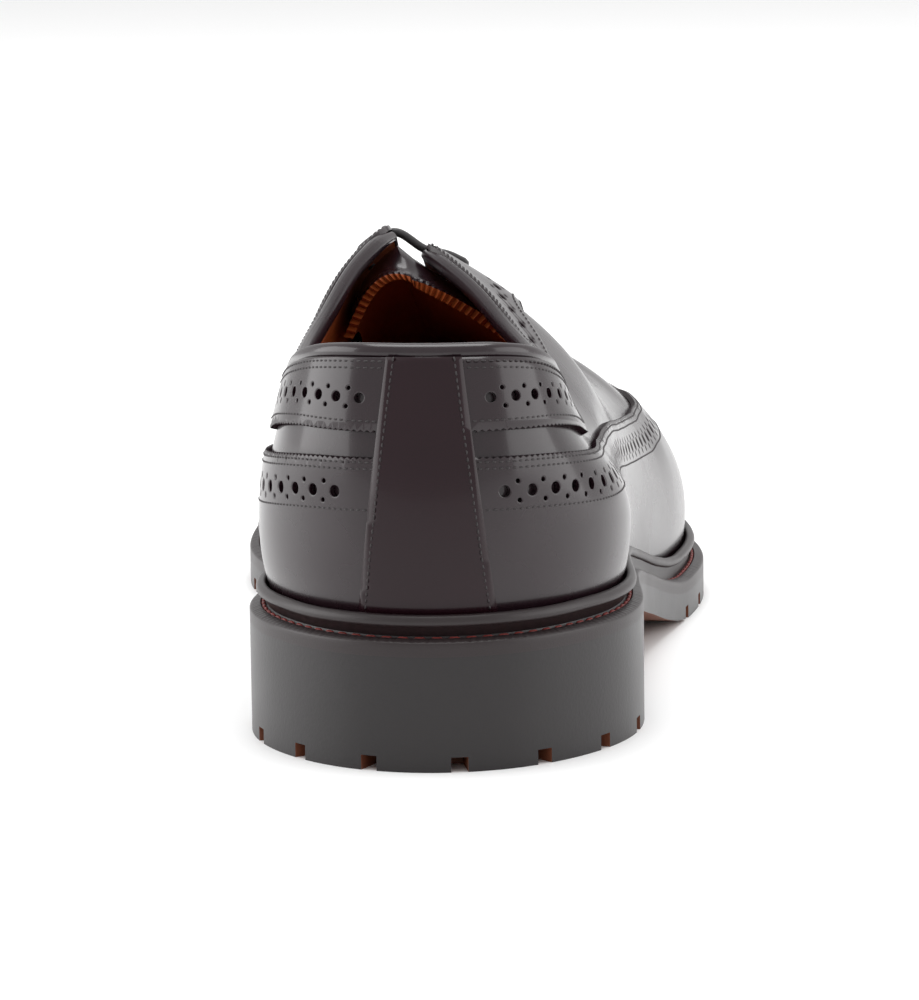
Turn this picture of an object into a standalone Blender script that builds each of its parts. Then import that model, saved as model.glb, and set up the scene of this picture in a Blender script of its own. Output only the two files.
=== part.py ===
"""Longwing brogue for the right foot: a derby with a storm welt and a lugged rubber sole.

Metres, +Z up, toe towards +Y, outer (lateral) side towards +X.  The floor is
z = 0 and the origin lies on the tread, under the middle of the heel.  Lengths
along the shoe are measured from the back of the sole until the last step,
which hangs every piece on one empty at the origin.
"""
import math
from collections import namedtuple

import bmesh
import bpy
import numpy as np
from mathutils import Vector

# Driving dimensions of the sole
SHOE_LENGTH = 0.306
BALL_WIDTH = 0.115
HEEL_WIDTH = 0.081
TOE_SWING = 0.020
HEEL_LENGTH = 0.082
HEEL_BLOCK = 0.0168
HEEL_CENTRE = 0.0405
OUTSOLE = 0.0062
TOE_SPRING = 0.010
LUG_DEPTH = 0.0030
NOTCH_WIDTH = 0.0034
NOTCH_REACH = 0.0085
NOTCH_PITCH = 0.0185
NOTCH_START = 0.0065
LUG_WIDTH = 0.0111
LUG_GROOVE = 0.0045
RIM_WIDTH = 0.0120

# Driving dimensions of the welt
WELT_WIDTH = 0.0085
WELT_EDGE = 0.0028
LIP_HEIGHT = 0.0062
LIP_THICKNESS = 0.0021

# Driving dimensions of the upper
BACK_HEIGHT = 0.0838
DIP_HEIGHT = 0.0752
INSTEP_HEIGHT = 0.0985
VAMP_HEIGHT = 0.0605
LATERAL_DROP = 0.0040
COLLAR_WIDTH = 0.0530
RIDGE_SHIFT = 0.0122
SIDE_BULGE = 0.0047
WALL = 0.0024
THROAT_GAP = 0.0068
TOPLINE_BEAD = 0.0028
BEAD_PROUD = 0.0012

# Driving dimensions of the pieces sewn on the upper
OVERLAY = 0.0012
BACKSTAY = 0.0018
BACKSTAY_TOP = 0.0142
BACKSTAY_FOOT = 0.0262
WING_HEIGHT = 0.0578
WING_PEAK = 0.0150
COLLAR_BAND = 0.0150
BAND_EXTRA = 0.0028
FACING_WIDTH = 0.0240

# Driving dimensions of the tongue, insole and lace
TONGUE_WIDTH = 0.0560
TONGUE = 0.0020
TONGUE_REACH = 0.0110
INSOLE = 0.0035
LACE = 0.0022
LACE_ROWS = 5
LACE_PITCH = 0.0152
FIRST_ROW = 0.0070
EYELET_INSET = 0.0095

# Clearance between pieces that touch on the real shoe
SEAT = 0.0003

# Outline of the sole, one row for each station from the back to the tip.
# along: share of SHOE_LENGTH; heel and ball: shares of HEEL_WIDTH and BALL_WIDTH that add up to half
# the width; swing: how far the middle lies towards the inner side, as a share of TOE_SWING.
Station = namedtuple("Station", "along heel ball swing")
OUTLINE = (
    Station(0.000, 0.000, 0.000, 0.00),
    Station(0.016, 0.210, 0.000, 0.00),
    Station(0.052, 0.358, 0.000, 0.00),
    Station(0.100, 0.459, 0.000, 0.00),
    Station(0.150, 0.500, 0.000, 0.00),
    Station(0.220, 0.490, 0.000, 0.00),
    Station(0.300, 0.340, 0.090, -0.02),
    Station(0.380, 0.200, 0.184, -0.07),
    Station(0.460, 0.080, 0.290, -0.09),
    Station(0.540, 0.020, 0.382, 0.00),
    Station(0.610, 0.000, 0.443, 0.12),
    Station(0.670, 0.000, 0.476, 0.27),
    Station(0.730, 0.000, 0.486, 0.42),
    Station(0.790, 0.000, 0.468, 0.57),
    Station(0.850, 0.000, 0.430, 0.70),
    Station(0.910, 0.000, 0.360, 0.83),
    Station(0.960, 0.000, 0.262, 0.94),
    Station(0.990, 0.000, 0.138, 1.00),
    Station(1.000, 0.000, 0.000, 1.00),
)

# Underside of the outsole above the floor, one row for each station.
# heel: share of HEEL_BLOCK; spring: share of TOE_SPRING.
Rise = namedtuple("Rise", "along heel spring")
PITCH = (
    Rise(0.000, 1.00, 0.00),
    Rise(0.180, 1.00, 0.00),
    Rise(0.260, 0.96, 0.00),
    Rise(0.330, 0.84, 0.00),
    Rise(0.410, 0.55, 0.00),
    Rise(0.490, 0.20, 0.00),
    Rise(0.540, 0.04, 0.00),
    Rise(0.570, 0.00, 0.00),
    Rise(0.690, 0.00, 0.00),
    Rise(0.740, 0.00, 0.04),
    Rise(0.830, 0.00, 0.26),
    Rise(0.920, 0.00, 0.60),
    Rise(1.000, 0.00, 1.00),
)

# Sections of the upper, one row for each, standing on the outline at the share along.
# bulge: share of SIDE_BULGE beyond the feather line; belly: height of the fullest point over the welt;
# top_along, ridge, across, height: where the section ends, as a share of SHOE_LENGTH, a share of RIDGE_SHIFT
# towards the inner side, a distance out from there, and a height; drop: share of LATERAL_DROP on the outer side;
# lean: slope at the top, 90 is upright; low and high: how square the section is at its side and at its top.
Section = namedtuple("Section", "along bulge belly top_along ridge across height drop lean low high")
POLE = 0.720
SECTIONS = (
    Section(0.000, 0.95, 0.0200, 0.032, 0.00, 0.000 * COLLAR_WIDTH, 1.000 * BACK_HEIGHT, 0.00, 77, 0.34, 0.54),
    Section(0.016, 0.95, 0.0200, 0.037, 0.02, 0.205 * COLLAR_WIDTH, 1.000 * BACK_HEIGHT, 0.00, 77, 0.34, 0.54),
    Section(0.052, 0.98, 0.0190, 0.062, 0.08, 0.370 * COLLAR_WIDTH, 0.990 * BACK_HEIGHT, 0.10, 77, 0.34, 0.54),
    Section(0.100, 1.00, 0.0180, 0.104, 0.20, 0.470 * COLLAR_WIDTH, 0.955 * BACK_HEIGHT, 0.30, 76, 0.34, 0.54),
    Section(0.150, 1.00, 0.0170, 0.148, 0.30, 0.500 * COLLAR_WIDTH, 1.015 * DIP_HEIGHT, 0.50, 74, 0.34, 0.54),
    Section(0.200, 0.92, 0.0165, 0.190, 0.40, 0.490 * COLLAR_WIDTH, 1.000 * DIP_HEIGHT, 0.60, 71, 0.37, 0.52),
    Section(0.250, 0.84, 0.0160, 0.232, 0.54, 0.440 * COLLAR_WIDTH, 1.040 * DIP_HEIGHT, 0.70, 64, 0.41, 0.49),
    Section(0.295, 0.76, 0.0150, 0.272, 0.70, 0.345 * COLLAR_WIDTH, 0.850 * INSTEP_HEIGHT, 0.85, 54, 0.45, 0.46),
    Section(0.330, 0.70, 0.0140, 0.304, 0.85, 0.225 * COLLAR_WIDTH, 0.930 * INSTEP_HEIGHT, 0.95, 43, 0.46, 0.47),
    Section(0.352, 0.66, 0.0135, 0.324, 0.95, 0.120 * COLLAR_WIDTH, 0.975 * INSTEP_HEIGHT, 1.00, 35, 0.47, 0.48),
    Section(0.375, 0.62, 0.0130, 0.345, 1.00, 0.500 * THROAT_GAP, 0.995 * INSTEP_HEIGHT, 1.00, 30, 0.48, 0.49),
    Section(0.450, 0.56, 0.0125, 0.424, 1.02, 0.500 * THROAT_GAP, 0.895 * INSTEP_HEIGHT, 0.90, 26, 0.50, 0.50),
    Section(0.530, 0.54, 0.0120, 0.510, 1.02, 0.500 * THROAT_GAP, 0.812 * INSTEP_HEIGHT, 0.65, 22, 0.50, 0.50),
    Section(0.600, 0.56, 0.0120, 0.584, 1.00, 0.420 * THROAT_GAP, 1.200 * VAMP_HEIGHT, 0.30, 16, 0.50, 0.50),
    Section(0.622, 0.56, 0.0120, 0.606, 1.00, 0.000 * THROAT_GAP, 1.170 * VAMP_HEIGHT, 0.00, 6, 0.50, 0.50),
    Section(0.680, 0.56, 0.0120, 0.665, 0.98, 0.000 * THROAT_GAP, 1.075 * VAMP_HEIGHT, 0.00, 0, 0.52, 0.50),
    Section(0.735, 0.58, 0.0120, POLE, 0.96, 0.000 * THROAT_GAP, 1.000 * VAMP_HEIGHT, 0.00, 0, 0.52, 0.50),
    Section(0.800, 0.60, 0.0120, POLE, 0.96, 0.000 * THROAT_GAP, 1.000 * VAMP_HEIGHT, 0.00, 4, 0.52, 0.48),
    Section(0.860, 0.62, 0.0120, POLE, 0.96, 0.000 * THROAT_GAP, 1.000 * VAMP_HEIGHT, 0.00, 8, 0.51, 0.45),
    Section(0.920, 0.64, 0.0120, POLE, 0.96, 0.000 * THROAT_GAP, 1.000 * VAMP_HEIGHT, 0.00, 12, 0.50, 0.42),
    Section(0.970, 0.66, 0.0120, POLE, 0.96, 0.000 * THROAT_GAP, 1.000 * VAMP_HEIGHT, 0.00, 14, 0.50, 0.40),
    Section(1.000, 0.66, 0.0120, POLE, 0.96, 0.000 * THROAT_GAP, 1.000 * VAMP_HEIGHT, 0.00, 14, 0.50, 0.40),
)

# Steps of each half outline, rows of the wall grid, and points of the outline between two stations
FINE = 480
RINGS = 96
OUTLINE_STEPS = 48

# How many points of the fine outline each lane of the section table is eased over
EASE_OVER = 17


def closed_spline(points, samples):
    """A smooth closed curve: neighbouring cubics share their slope and their bend at every point."""
    step = np.linalg.norm(np.roll(points, -1, axis=0) - points, axis=1)
    count = len(points)
    matrix = np.zeros((count, count))
    target = np.zeros_like(points)
    for i in range(count):
        behind, ahead = step[i - 1], step[i]
        matrix[i, i - 1] += behind
        matrix[i, i] += 2 * (behind + ahead)
        matrix[i, (i + 1) % count] += ahead
        leaving, arriving = points[(i + 1) % count] - points[i], points[i] - points[i - 1]
        target[i] = 6 * (leaving / ahead - arriving / behind)
    bend = np.linalg.solve(matrix, target)
    pieces = []
    for i in range(count):
        j, h = (i + 1) % count, step[i]
        t = np.linspace(0, 1, samples, endpoint=False)[:, None]
        line = points[i] * (1 - t) + points[j] * t
        pieces.append(line + h * h / 6 * (((1 - t) ** 3 - (1 - t)) * bend[i] + (t ** 3 - t) * bend[j]))
    return pieces


def monotone(x, y, at):
    """Cubic through the rows of a table that never overshoots them."""
    x, y = np.asarray(x, float), np.asarray(y, float)
    secant = np.diff(y) / np.diff(x)
    slope = np.zeros(len(x))
    same = secant[:-1] * secant[1:] > 0
    total = np.where(same, secant[:-1] + secant[1:], 1)
    slope[1:-1] = np.where(same, 2 * secant[:-1] * secant[1:] / total, 0)
    i = np.clip(np.searchsorted(x, at, side="right") - 1, 0, len(x) - 2)
    h = x[i + 1] - x[i]
    t = np.clip((at - x[i]) / h, 0, 1)
    first = (2 * t ** 3 - 3 * t ** 2 + 1) * y[i] + (t ** 3 - 2 * t ** 2 + t) * h * slope[i]
    return first + (3 * t ** 2 - 2 * t ** 3) * y[i + 1] + (t ** 3 - t ** 2) * h * slope[i + 1]


def half_outlines():
    """The sole's edge from the back to the tip, outer side and inner side, both at the same stations."""
    y = np.array([s.along * SHOE_LENGTH for s in OUTLINE])
    middle = np.array([-s.swing * TOE_SWING for s in OUTLINE])
    half = np.array([s.heel * HEEL_WIDTH + s.ball * BALL_WIDTH for s in OUTLINE])
    outer = np.column_stack([middle + half, y])
    inner = np.column_stack([middle - half, y])[-2:0:-1]
    loop = np.vstack(closed_spline(np.vstack([outer, inner]), OUTLINE_STEPS))
    back, tip = loop[:, 1].argmin(), loop[:, 1].argmax()
    around = [np.roll(loop, -back, axis=0)[: (tip - back) % len(loop) + 1]]
    around.append(np.roll(loop, -tip, axis=0)[: (back - tip) % len(loop) + 1][::-1])
    runs = [np.concatenate([[0], np.cumsum(np.linalg.norm(np.diff(line, axis=0), axis=1))]) for line in around]
    low, high = loop[back, 1], loop[tip, 1]
    y = low + (high - low) * (1 - np.cos(np.linspace(0, np.pi, 8 * FINE))) / 2
    run = sum(np.interp(y, line[:, 1], r) for line, r in zip(around, runs)) / 2
    even = np.interp(np.linspace(0, run[-1], FINE + 1), run, y)
    return [np.stack([np.interp(even, line[:, 1], line[:, 0]), even], axis=1) for line in around]


OUTER_EDGE, INNER_EDGE = half_outlines()
EDGE = np.vstack([INNER_EDGE[::-1], OUTER_EDGE[1:]])
EDGE_SHARE = np.linspace(-1, 1, len(EDGE))


def edge_inward():
    """Unit direction from each point of the edge into the sole."""
    ahead = np.roll(EDGE[:-1], -1, axis=0) - np.roll(EDGE[:-1], 1, axis=0)
    normal = np.stack([-ahead[:, 1], ahead[:, 0]], axis=1)
    normal /= np.linalg.norm(normal, axis=1, keepdims=True)
    return np.vstack([normal, normal[:1]])


INWARD = edge_inward()


def edge_point(share, inset=0.0):
    """Plan point at a share of the half outline, outer side positive, moved in by inset."""
    point, inward = (
        np.stack([np.interp(share, EDGE_SHARE, line[:, k]) for k in (0, 1)], axis=-1) for line in (EDGE, INWARD)
    )
    return point + inward * np.asarray(inset)[..., None]


def rise(y):
    """Height of the outsole's underside over the floor."""
    along = np.asarray(y) / SHOE_LENGTH
    heel = monotone([r.along for r in PITCH], [r.heel for r in PITCH], along)
    spring = monotone([r.along for r in PITCH], [r.spring for r in PITCH], along)
    return heel * HEEL_BLOCK + spring * TOE_SPRING


def welt_top(y):
    """Height of the welt's outer edge over the floor."""
    return rise(y) + OUTSOLE + WELT_EDGE


def lanes():
    """Every column of the section table, carried round the shoe and eased between its rows."""
    steps = []
    for side, edge in ((-1, INNER_EDGE), (1, OUTER_EDGE)):
        share = np.interp([s.along * SHOE_LENGTH for s in SECTIONS], edge[:, 1], np.linspace(0, 1, len(edge)))
        at = np.linspace(0, 1, FINE + 1)
        columns = {
            "bulge": [s.bulge * SIDE_BULGE for s in SECTIONS],
            "belly": [s.belly for s in SECTIONS],
            "across": [side * s.across for s in SECTIONS],
            "ridge": [s.ridge * RIDGE_SHIFT for s in SECTIONS],
            "y": [s.top_along * SHOE_LENGTH for s in SECTIONS],
            "z": [s.height for s in SECTIONS],
            "drop": [s.drop * LATERAL_DROP * (side > 0) for s in SECTIONS],
            "lean": [math.radians(s.lean) for s in SECTIONS],
            "low": [s.low for s in SECTIONS],
            "high": [s.high for s in SECTIONS],
        }
        carried = {name: monotone(share, values, at) for name, values in columns.items()}
        mirrored = np.concatenate([[-share[1]], share]), [-columns["across"][1]] + columns["across"]
        carried["across"] = monotone(*mirrored, at)
        steps.append(carried)
    window = np.hanning(EASE_OVER + 2)[1:-1]
    window /= window.sum()
    reach = len(window) // 2
    joined = {}
    for name in steps[0]:
        loop = np.concatenate([steps[0][name][::-1], steps[1][name][1:-1]])
        wrapped = np.concatenate([loop[-reach:], loop, loop[:reach]])
        eased = np.convolve(wrapped, window, mode="valid")
        joined[name] = np.concatenate([eased, eased[:1]])
    joined["x"] = joined["across"] - joined["ridge"]
    joined["z"] = joined["z"] - joined["drop"]
    return joined


def cubic(a, b, c, d, t):
    """Points of a Bezier curve in space, one row for each section."""
    a, b, c, d = (p[:, None] for p in (a, b, c, d))
    t = t[:, None]
    return a * (1 - t) ** 3 + 3 * b * t * (1 - t) ** 2 + 3 * c * t ** 2 * (1 - t) + d * t ** 3


LANES = lanes()


def throat_opening(shares):
    """Distance between the top of each section and the one across the shoe."""
    top = [np.interp(side * np.abs(shares), EDGE_SHARE, LANES["x"]) for side in (-1, 1)]
    return np.where(top[1] - top[0] > 1e-5, top[1] - top[0], 0)


# How far the outline's own direction still counts where a section ends close above its foot
STRAIGHTEN = 0.015


def build_wall():
    """The upper's outer surface as a grid: columns round the shoe, rows from the feather line to the top.

    Each section swells from its foot to the belly, square to the outline, and bends over from there to its top.
    """
    lane = LANES
    out = np.column_stack([-INWARD, np.zeros(len(INWARD))])
    up = np.array([0.0, 0.0, 1.0])
    foot = np.column_stack([edge_point(EDGE_SHARE, WELT_WIDTH), np.zeros(len(out))])
    foot[:, 2] = rise(foot[:, 1]) + OUTSOLE + SEAT
    belly = foot + out * lane["bulge"][:, None]
    belly[:, 2] = welt_top(foot[:, 1]) + lane["belly"]
    top = np.stack([lane["x"], lane["y"], lane["z"]], axis=1)
    outward = (belly - top) * (1, 1, 0) + out * STRAIGHTEN
    outward /= np.linalg.norm(outward, axis=1, keepdims=True)
    reach = np.linalg.norm((belly - top)[:, :2], axis=1)
    low, high = (belly - foot)[:, 2], (top - belly)[:, 2]
    handle = lane["high"] * (reach * np.cos(lane["lean"]) + high * np.sin(lane["lean"]))
    back, down = handle * np.cos(lane["lean"]), handle * np.sin(lane["lean"])
    at_top = top + outward * back[:, None] - up * down[:, None]
    first = foot + out * (0.55 * lane["bulge"])[:, None] + up * (0.30 * low)[:, None]
    swell = cubic(foot, first, belly - up * (0.45 * low)[:, None], belly, np.linspace(0, 1, 25))
    bend = cubic(belly, belly + up * (lane["low"] * high)[:, None], at_top, top, np.linspace(0, 1, 49))
    line = np.concatenate([swell, bend[:, 1:]], axis=1)
    step = np.linalg.norm(np.diff(line, axis=1), axis=2)
    run = np.concatenate([np.zeros((len(line), 1)), np.cumsum(step, axis=1)], axis=1)
    even = np.linspace(0, 1, RINGS + 1)
    grid = np.empty((len(line), RINGS + 1, 3))
    for i in range(len(line)):
        for k in range(3):
            grid[i, :, k] = np.interp(even, run[i] / run[i, -1], line[i, :, k])
    return grid, run[:, -1]


def grid_normals(grid):
    """Outward unit normals of the wall; where the columns meet at the pole, the row below lends its own."""
    around = np.empty_like(grid)
    around[1:-1] = grid[2:] - grid[:-2]
    around[0] = around[-1] = grid[1] - grid[-2]
    normal = np.cross(around, np.gradient(grid, axis=1))
    size = np.linalg.norm(normal, axis=2, keepdims=True)
    normal = normal / np.maximum(size, 1e-12)
    weak = np.linalg.norm(around, axis=2) < 2e-5
    for k in range(1, grid.shape[1]):
        normal[weak[:, k], k] = normal[weak[:, k], k - 1]
    shut = throat_opening(EDGE_SHARE) == 0
    at_pole = np.linalg.norm(grid[:, -1] - grid[-1, -1], axis=1) < 2e-5
    crest = normal[:, -1] + normal[::-1, -1]
    crest[at_pole] = normal[at_pole, -1].mean(axis=0)
    crest /= np.linalg.norm(crest, axis=1, keepdims=True)
    normal[shut, -1] = crest[shut]
    return normal


WALL_GRID, WALL_LENGTH = build_wall()
WALL_NORMAL = grid_normals(WALL_GRID)


def skin(share, v, out=0.0):
    """Point of the upper's outer surface at share round the shoe and v up the section, moved out."""
    share, v, out = np.broadcast_arrays(share, v, out)
    column = np.clip((share + 1) / 2 * (len(WALL_GRID) - 1), 0, len(WALL_GRID) - 1 - 1e-9)
    row = np.clip(v * RINGS, 0, RINGS - 1e-9)
    i, j = column.astype(int), row.astype(int)
    a, b = (column - i)[..., None], (row - j)[..., None]

    def blend(values):
        low = values[i, j] * (1 - a) + values[i + 1, j] * a
        high = values[i, j + 1] * (1 - a) + values[i + 1, j + 1] * a
        return low * (1 - b) + high * b

    normal = blend(WALL_NORMAL)
    normal /= np.maximum(np.linalg.norm(normal, axis=-1, keepdims=True), 1e-9)
    return blend(WALL_GRID) + normal * out[..., None]


def seated(points):
    """The same points, none lower than the seat on top of the outsole."""
    points[..., 2] = np.maximum(points[..., 2], rise(points[..., 1]) + OUTSOLE + SEAT)
    return points


def length_at(share):
    """Length of the section at share, from the feather line to the top."""
    return np.interp(share, EDGE_SHARE, WALL_LENGTH)


def row_at_height(share, z):
    """How far up the section, as a share, the outer surface reaches the height z."""
    share, z = np.broadcast_arrays(share, z)
    result = np.empty(share.shape)
    ticks = np.linspace(0, 1, RINGS + 1)
    for k in np.ndindex(share.shape):
        column = skin(np.full(RINGS + 1, share[k]), ticks)[:, 2]
        result[k] = np.interp(z[k], column, ticks)
    return result


def along_at(share):
    """Station of the outline at share, as a share of SHOE_LENGTH."""
    return edge_point(share)[..., 1] / SHOE_LENGTH


# Columns of the modelled surfaces: even steps round the shoe, closer where the topline turns the facing's corner
COLUMNS = 42
CORNER_FROM, CORNER_TO = SECTIONS[8].along, SECTIONS[11].along


def share_at(along, side):
    """Share round the shoe, signed by side, of a station given as a share of SHOE_LENGTH."""
    edge = OUTER_EDGE if side > 0 else INNER_EDGE
    return side * np.interp(along * SHOE_LENGTH, edge[:, 1], np.linspace(0, 1, len(edge)))


def column_shares():
    """Shares of the columns of every piece cut from the wall, from the inner side of the toe round to the outer."""
    shares = [-1.0, 0.0, 1.0]
    for side in (-1, 1):
        even = [side * k / COLUMNS for k in range(1, COLUMNS)]
        start, stop = (share_at(along, side) for along in (CORNER_FROM, CORNER_TO))
        near = [(a, b) for a, b in zip(even, even[1:]) if abs(start) < abs(a) < abs(stop)]
        shares += even + [(a + b) / 2 for a, b in near]
    return np.array(sorted(shares))


SHARES = column_shares()


def smooth_between(value, start, stop):
    """0 before start, 1 after stop, and an even S between them."""
    t = np.clip((value - start) / (stop - start), 0, 1)
    return t * t * (3 - 2 * t)


# Top edge of the wing, from the heel forward; over: height over the welt as a share of WING_HEIGHT
# less the height of the welt at the back.  Past the ball it follows the peak over the toe instead.
WingRow = namedtuple("WingRow", "along over")
WING_LINE = (
    WingRow(0.00, 1.12),
    WingRow(0.03, 1.11),
    WingRow(0.14, 1.01),
    WingRow(0.25, 0.96),
    WingRow(0.40, 1.07),
    WingRow(0.55, 1.22),
    WingRow(0.68, 1.22),
)
# Distance of the wing's edge from the pole of the toe, as a share of WING_PEAK, from the side to the tip
PeakRow = namedtuple("PeakRow", "share away")
WING_OVER_TOE = (
    PeakRow(0.60, 3.10),
    PeakRow(0.70, 2.75),
    PeakRow(0.78, 2.45),
    PeakRow(0.85, 2.30),
    PeakRow(0.91, 2.05),
    PeakRow(0.96, 1.45),
    PeakRow(1.00, 1.00),
)
# Share round the shoe where the height over the welt hands over to the distance from the pole
PEAK_FROM, PEAK_TO = 0.60, 0.72


def wing_row(share):
    """How far up each section the top edge of the wing runs."""
    along = along_at(share)
    heel_over = WING_HEIGHT - welt_top(0.0)
    over = monotone([r.along for r in WING_LINE], [r.over for r in WING_LINE], along) * heel_over
    side = row_at_height(share, welt_top(along * SHOE_LENGTH) + over)
    away = monotone([r.share for r in WING_OVER_TOE], [r.away for r in WING_OVER_TOE], np.abs(share)) * WING_PEAK
    toe = 1 - away / length_at(share)
    blend = smooth_between(np.abs(share), PEAK_FROM, PEAK_TO)
    return side * (1 - blend) + toe * blend


# Stations as shares of SHOE_LENGTH: where the collar band is at its narrowest, with BAND_EXTRA more at
# the back, where it starts to widen into the facing, the facing's top corner, the end of the open throat, its own end, and the length over which it rounds off
NARROW_FROM = 0.150
WIDEN_FROM = 0.232
FACING_CORNER = SECTIONS[10].along
THROAT_END = SECTIONS[14].along
FACING_END = THROAT_END + 0.020
FACING_ROUND = 0.100


def band_row(share):
    """How far up each section the lower edge of the collar band and facing runs."""
    along = along_at(share)
    width = COLLAR_BAND + BAND_EXTRA * (1 - smooth_between(along, 0.0, NARROW_FROM))
    width += (FACING_WIDTH - COLLAR_BAND) * smooth_between(along, WIDEN_FROM, FACING_CORNER)
    close = np.clip((FACING_END - along) / FACING_ROUND, 0, 1)
    return 1 - width * np.sqrt(1 - (1 - close) ** 2) / length_at(share)


# Meshes and materials

def clear_scene():
    """Start from an empty scene."""
    for old in list(bpy.data.objects):
        bpy.data.objects.remove(old, do_unlink=True)


def leather(name, colour, roughness):
    """A Principled material of one plain colour."""
    material = bpy.data.materials.new(name)
    material.use_nodes = True
    shader = material.node_tree.nodes["Principled BSDF"]
    shader.inputs["Base Color"].default_value = (*colour, 1)
    shader.inputs["Roughness"].default_value = roughness
    return material


def add_piece(name, mesh_data, material=None, cutter=False):
    """One object from a bmesh, merged, facing outwards and shaded smooth."""
    bmesh.ops.remove_doubles(mesh_data, verts=mesh_data.verts, dist=2e-6)
    bmesh.ops.recalc_face_normals(mesh_data, faces=mesh_data.faces)
    mesh = bpy.data.meshes.new(name)
    mesh_data.to_mesh(mesh)
    mesh_data.free()
    piece = bpy.data.objects.new(name, mesh)
    bpy.context.scene.collection.objects.link(piece)
    if cutter:
        piece.hide_render = True
        piece.display_type = "WIRE"
    else:
        mesh.materials.append(material)
        mesh.shade_smooth()
        mesh.set_sharp_from_angle(angle=math.radians(35))
    return piece


def cut(piece, cutter, operation="DIFFERENCE"):
    """A Boolean that stays on the piece."""
    step = piece.modifiers.new(cutter.name, "BOOLEAN")
    step.object = cutter
    step.operation = operation
    step.solver = "EXACT"


def add_quads(mesh_data, grid, wrap_rows=False, wrap_columns=False):
    """Faces between neighbouring points of a grid of vertices, without the ones that have shrunk to a line."""
    rows, columns = len(grid), len(grid[0])
    for i in range(rows if wrap_rows else rows - 1):
        for j in range(columns if wrap_columns else columns - 1):
            here, ahead, beside = grid[i], grid[(i + 1) % rows], (j + 1) % columns
            ring = [here[j], ahead[j], ahead[beside], here[beside]]
            kept = [v for k, v in enumerate(ring) if (v.co - ring[k - 1].co).length > 2e-6]
            for k in range(2, len(kept)):
                mesh_data.faces.new([kept[0], kept[k - 1], kept[k]])


def vertices(mesh_data, points):
    """Vertices at a grid of points."""
    return [[mesh_data.verts.new(p) for p in row] for row in points]


def shell(mesh_data, outer, inner, ends=False, open_top=None):
    """A wall between two grids of points, columns first, each running from its foot to its top.

    With ends the first and last column are closed off.  Where open_top is False the two sides of the shoe
    meet along the top, so the wall has no rim there.
    """
    count = outer.shape[1]
    grid = vertices(mesh_data, np.concatenate([outer, inner[:, ::-1]], axis=1))
    add_quads(mesh_data, [column[:count] for column in grid])
    add_quads(mesh_data, [column[:count - 1:-1] for column in grid])
    add_quads(mesh_data, [[column[-1], column[0]] for column in grid])
    rim = [[column[count - 1], column[count]] for column in grid]
    for k in range(len(grid) - 1):
        if open_top is None or open_top[k] or open_top[k + 1]:
            add_quads(mesh_data, rim[k:k + 2])
    for side in (grid[0], grid[-1]) if ends else ():
        for k in range(count - 1):
            mesh_data.faces.new([side[k], side[k + 1], side[2 * count - 2 - k], side[2 * count - 1 - k]])


def width_at(y, inset):
    """Inner and outer edge of the sole at the station y, moved in by inset."""
    line = EDGE + INWARD * inset
    middle = len(EDGE) // 2
    inner = np.interp(y, line[middle::-1, 1], line[middle::-1, 0])
    outer = np.interp(y, line[middle:, 1], line[middle:, 0])
    return inner, outer


def slab(name, inset, start, stop, low, high, stations, material=None, cutter=False):
    """A flat-sided body inside the sole's outline between two stations, from the height low to the height high."""
    line = EDGE + INWARD * inset
    first, last = max(start, line[:, 1].min()), min(stop, line[:, 1].max())
    y = first + (last - first) * (1 - np.cos(np.linspace(0, np.pi, stations))) / 2
    inner, outer = width_at(y, inset)
    rows = [
        np.stack([x, y, np.broadcast_to(z, y.shape)], axis=1)
        for x, z in ((inner, low(y)), (outer, low(y)), (outer, high(y)), (inner, high(y)))
    ]
    mesh_data = bmesh.new()
    grid = vertices(mesh_data, np.stack(rows, axis=1))
    add_quads(mesh_data, grid, wrap_columns=True)
    for end in (grid[0], grid[-1]):
        if (end[0].co - end[1].co).length > 2e-6:
            mesh_data.faces.new(end)
    bmesh.ops.triangulate(mesh_data, faces=mesh_data.faces)
    return add_piece(name, mesh_data, material, cutter)


def level(height):
    """A flat surface, for slab."""
    return lambda y: np.full_like(y, height)


def blocks(name, boxes, cutter=True):
    """Upright blocks as one cutter: centre, half width across, half length along, direction, bottom and top."""
    mesh_data = bmesh.new()
    for centre, across, along, turn, bottom, top in boxes:
        side = np.array([math.cos(turn), math.sin(turn)])
        front = np.array([-math.sin(turn), math.cos(turn)])
        corners = [centre + side * across * a + front * along * b for a, b in ((-1, -1), (1, -1), (1, 1), (-1, 1))]
        rings = [[mesh_data.verts.new((*c, z)) for c in corners] for z in (bottom, top)]
        mesh_data.faces.new(rings[0][::-1])
        mesh_data.faces.new(rings[1])
        for k in range(4):
            mesh_data.faces.new([rings[0][k], rings[0][(k + 1) % 4], rings[1][(k + 1) % 4], rings[1][k]])
    return add_piece(name, mesh_data, None, cutter)


# How far a cutter reaches below the floor, and out past the edge
BELOW = -0.020
OVERSHOOT = 0.002


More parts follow.
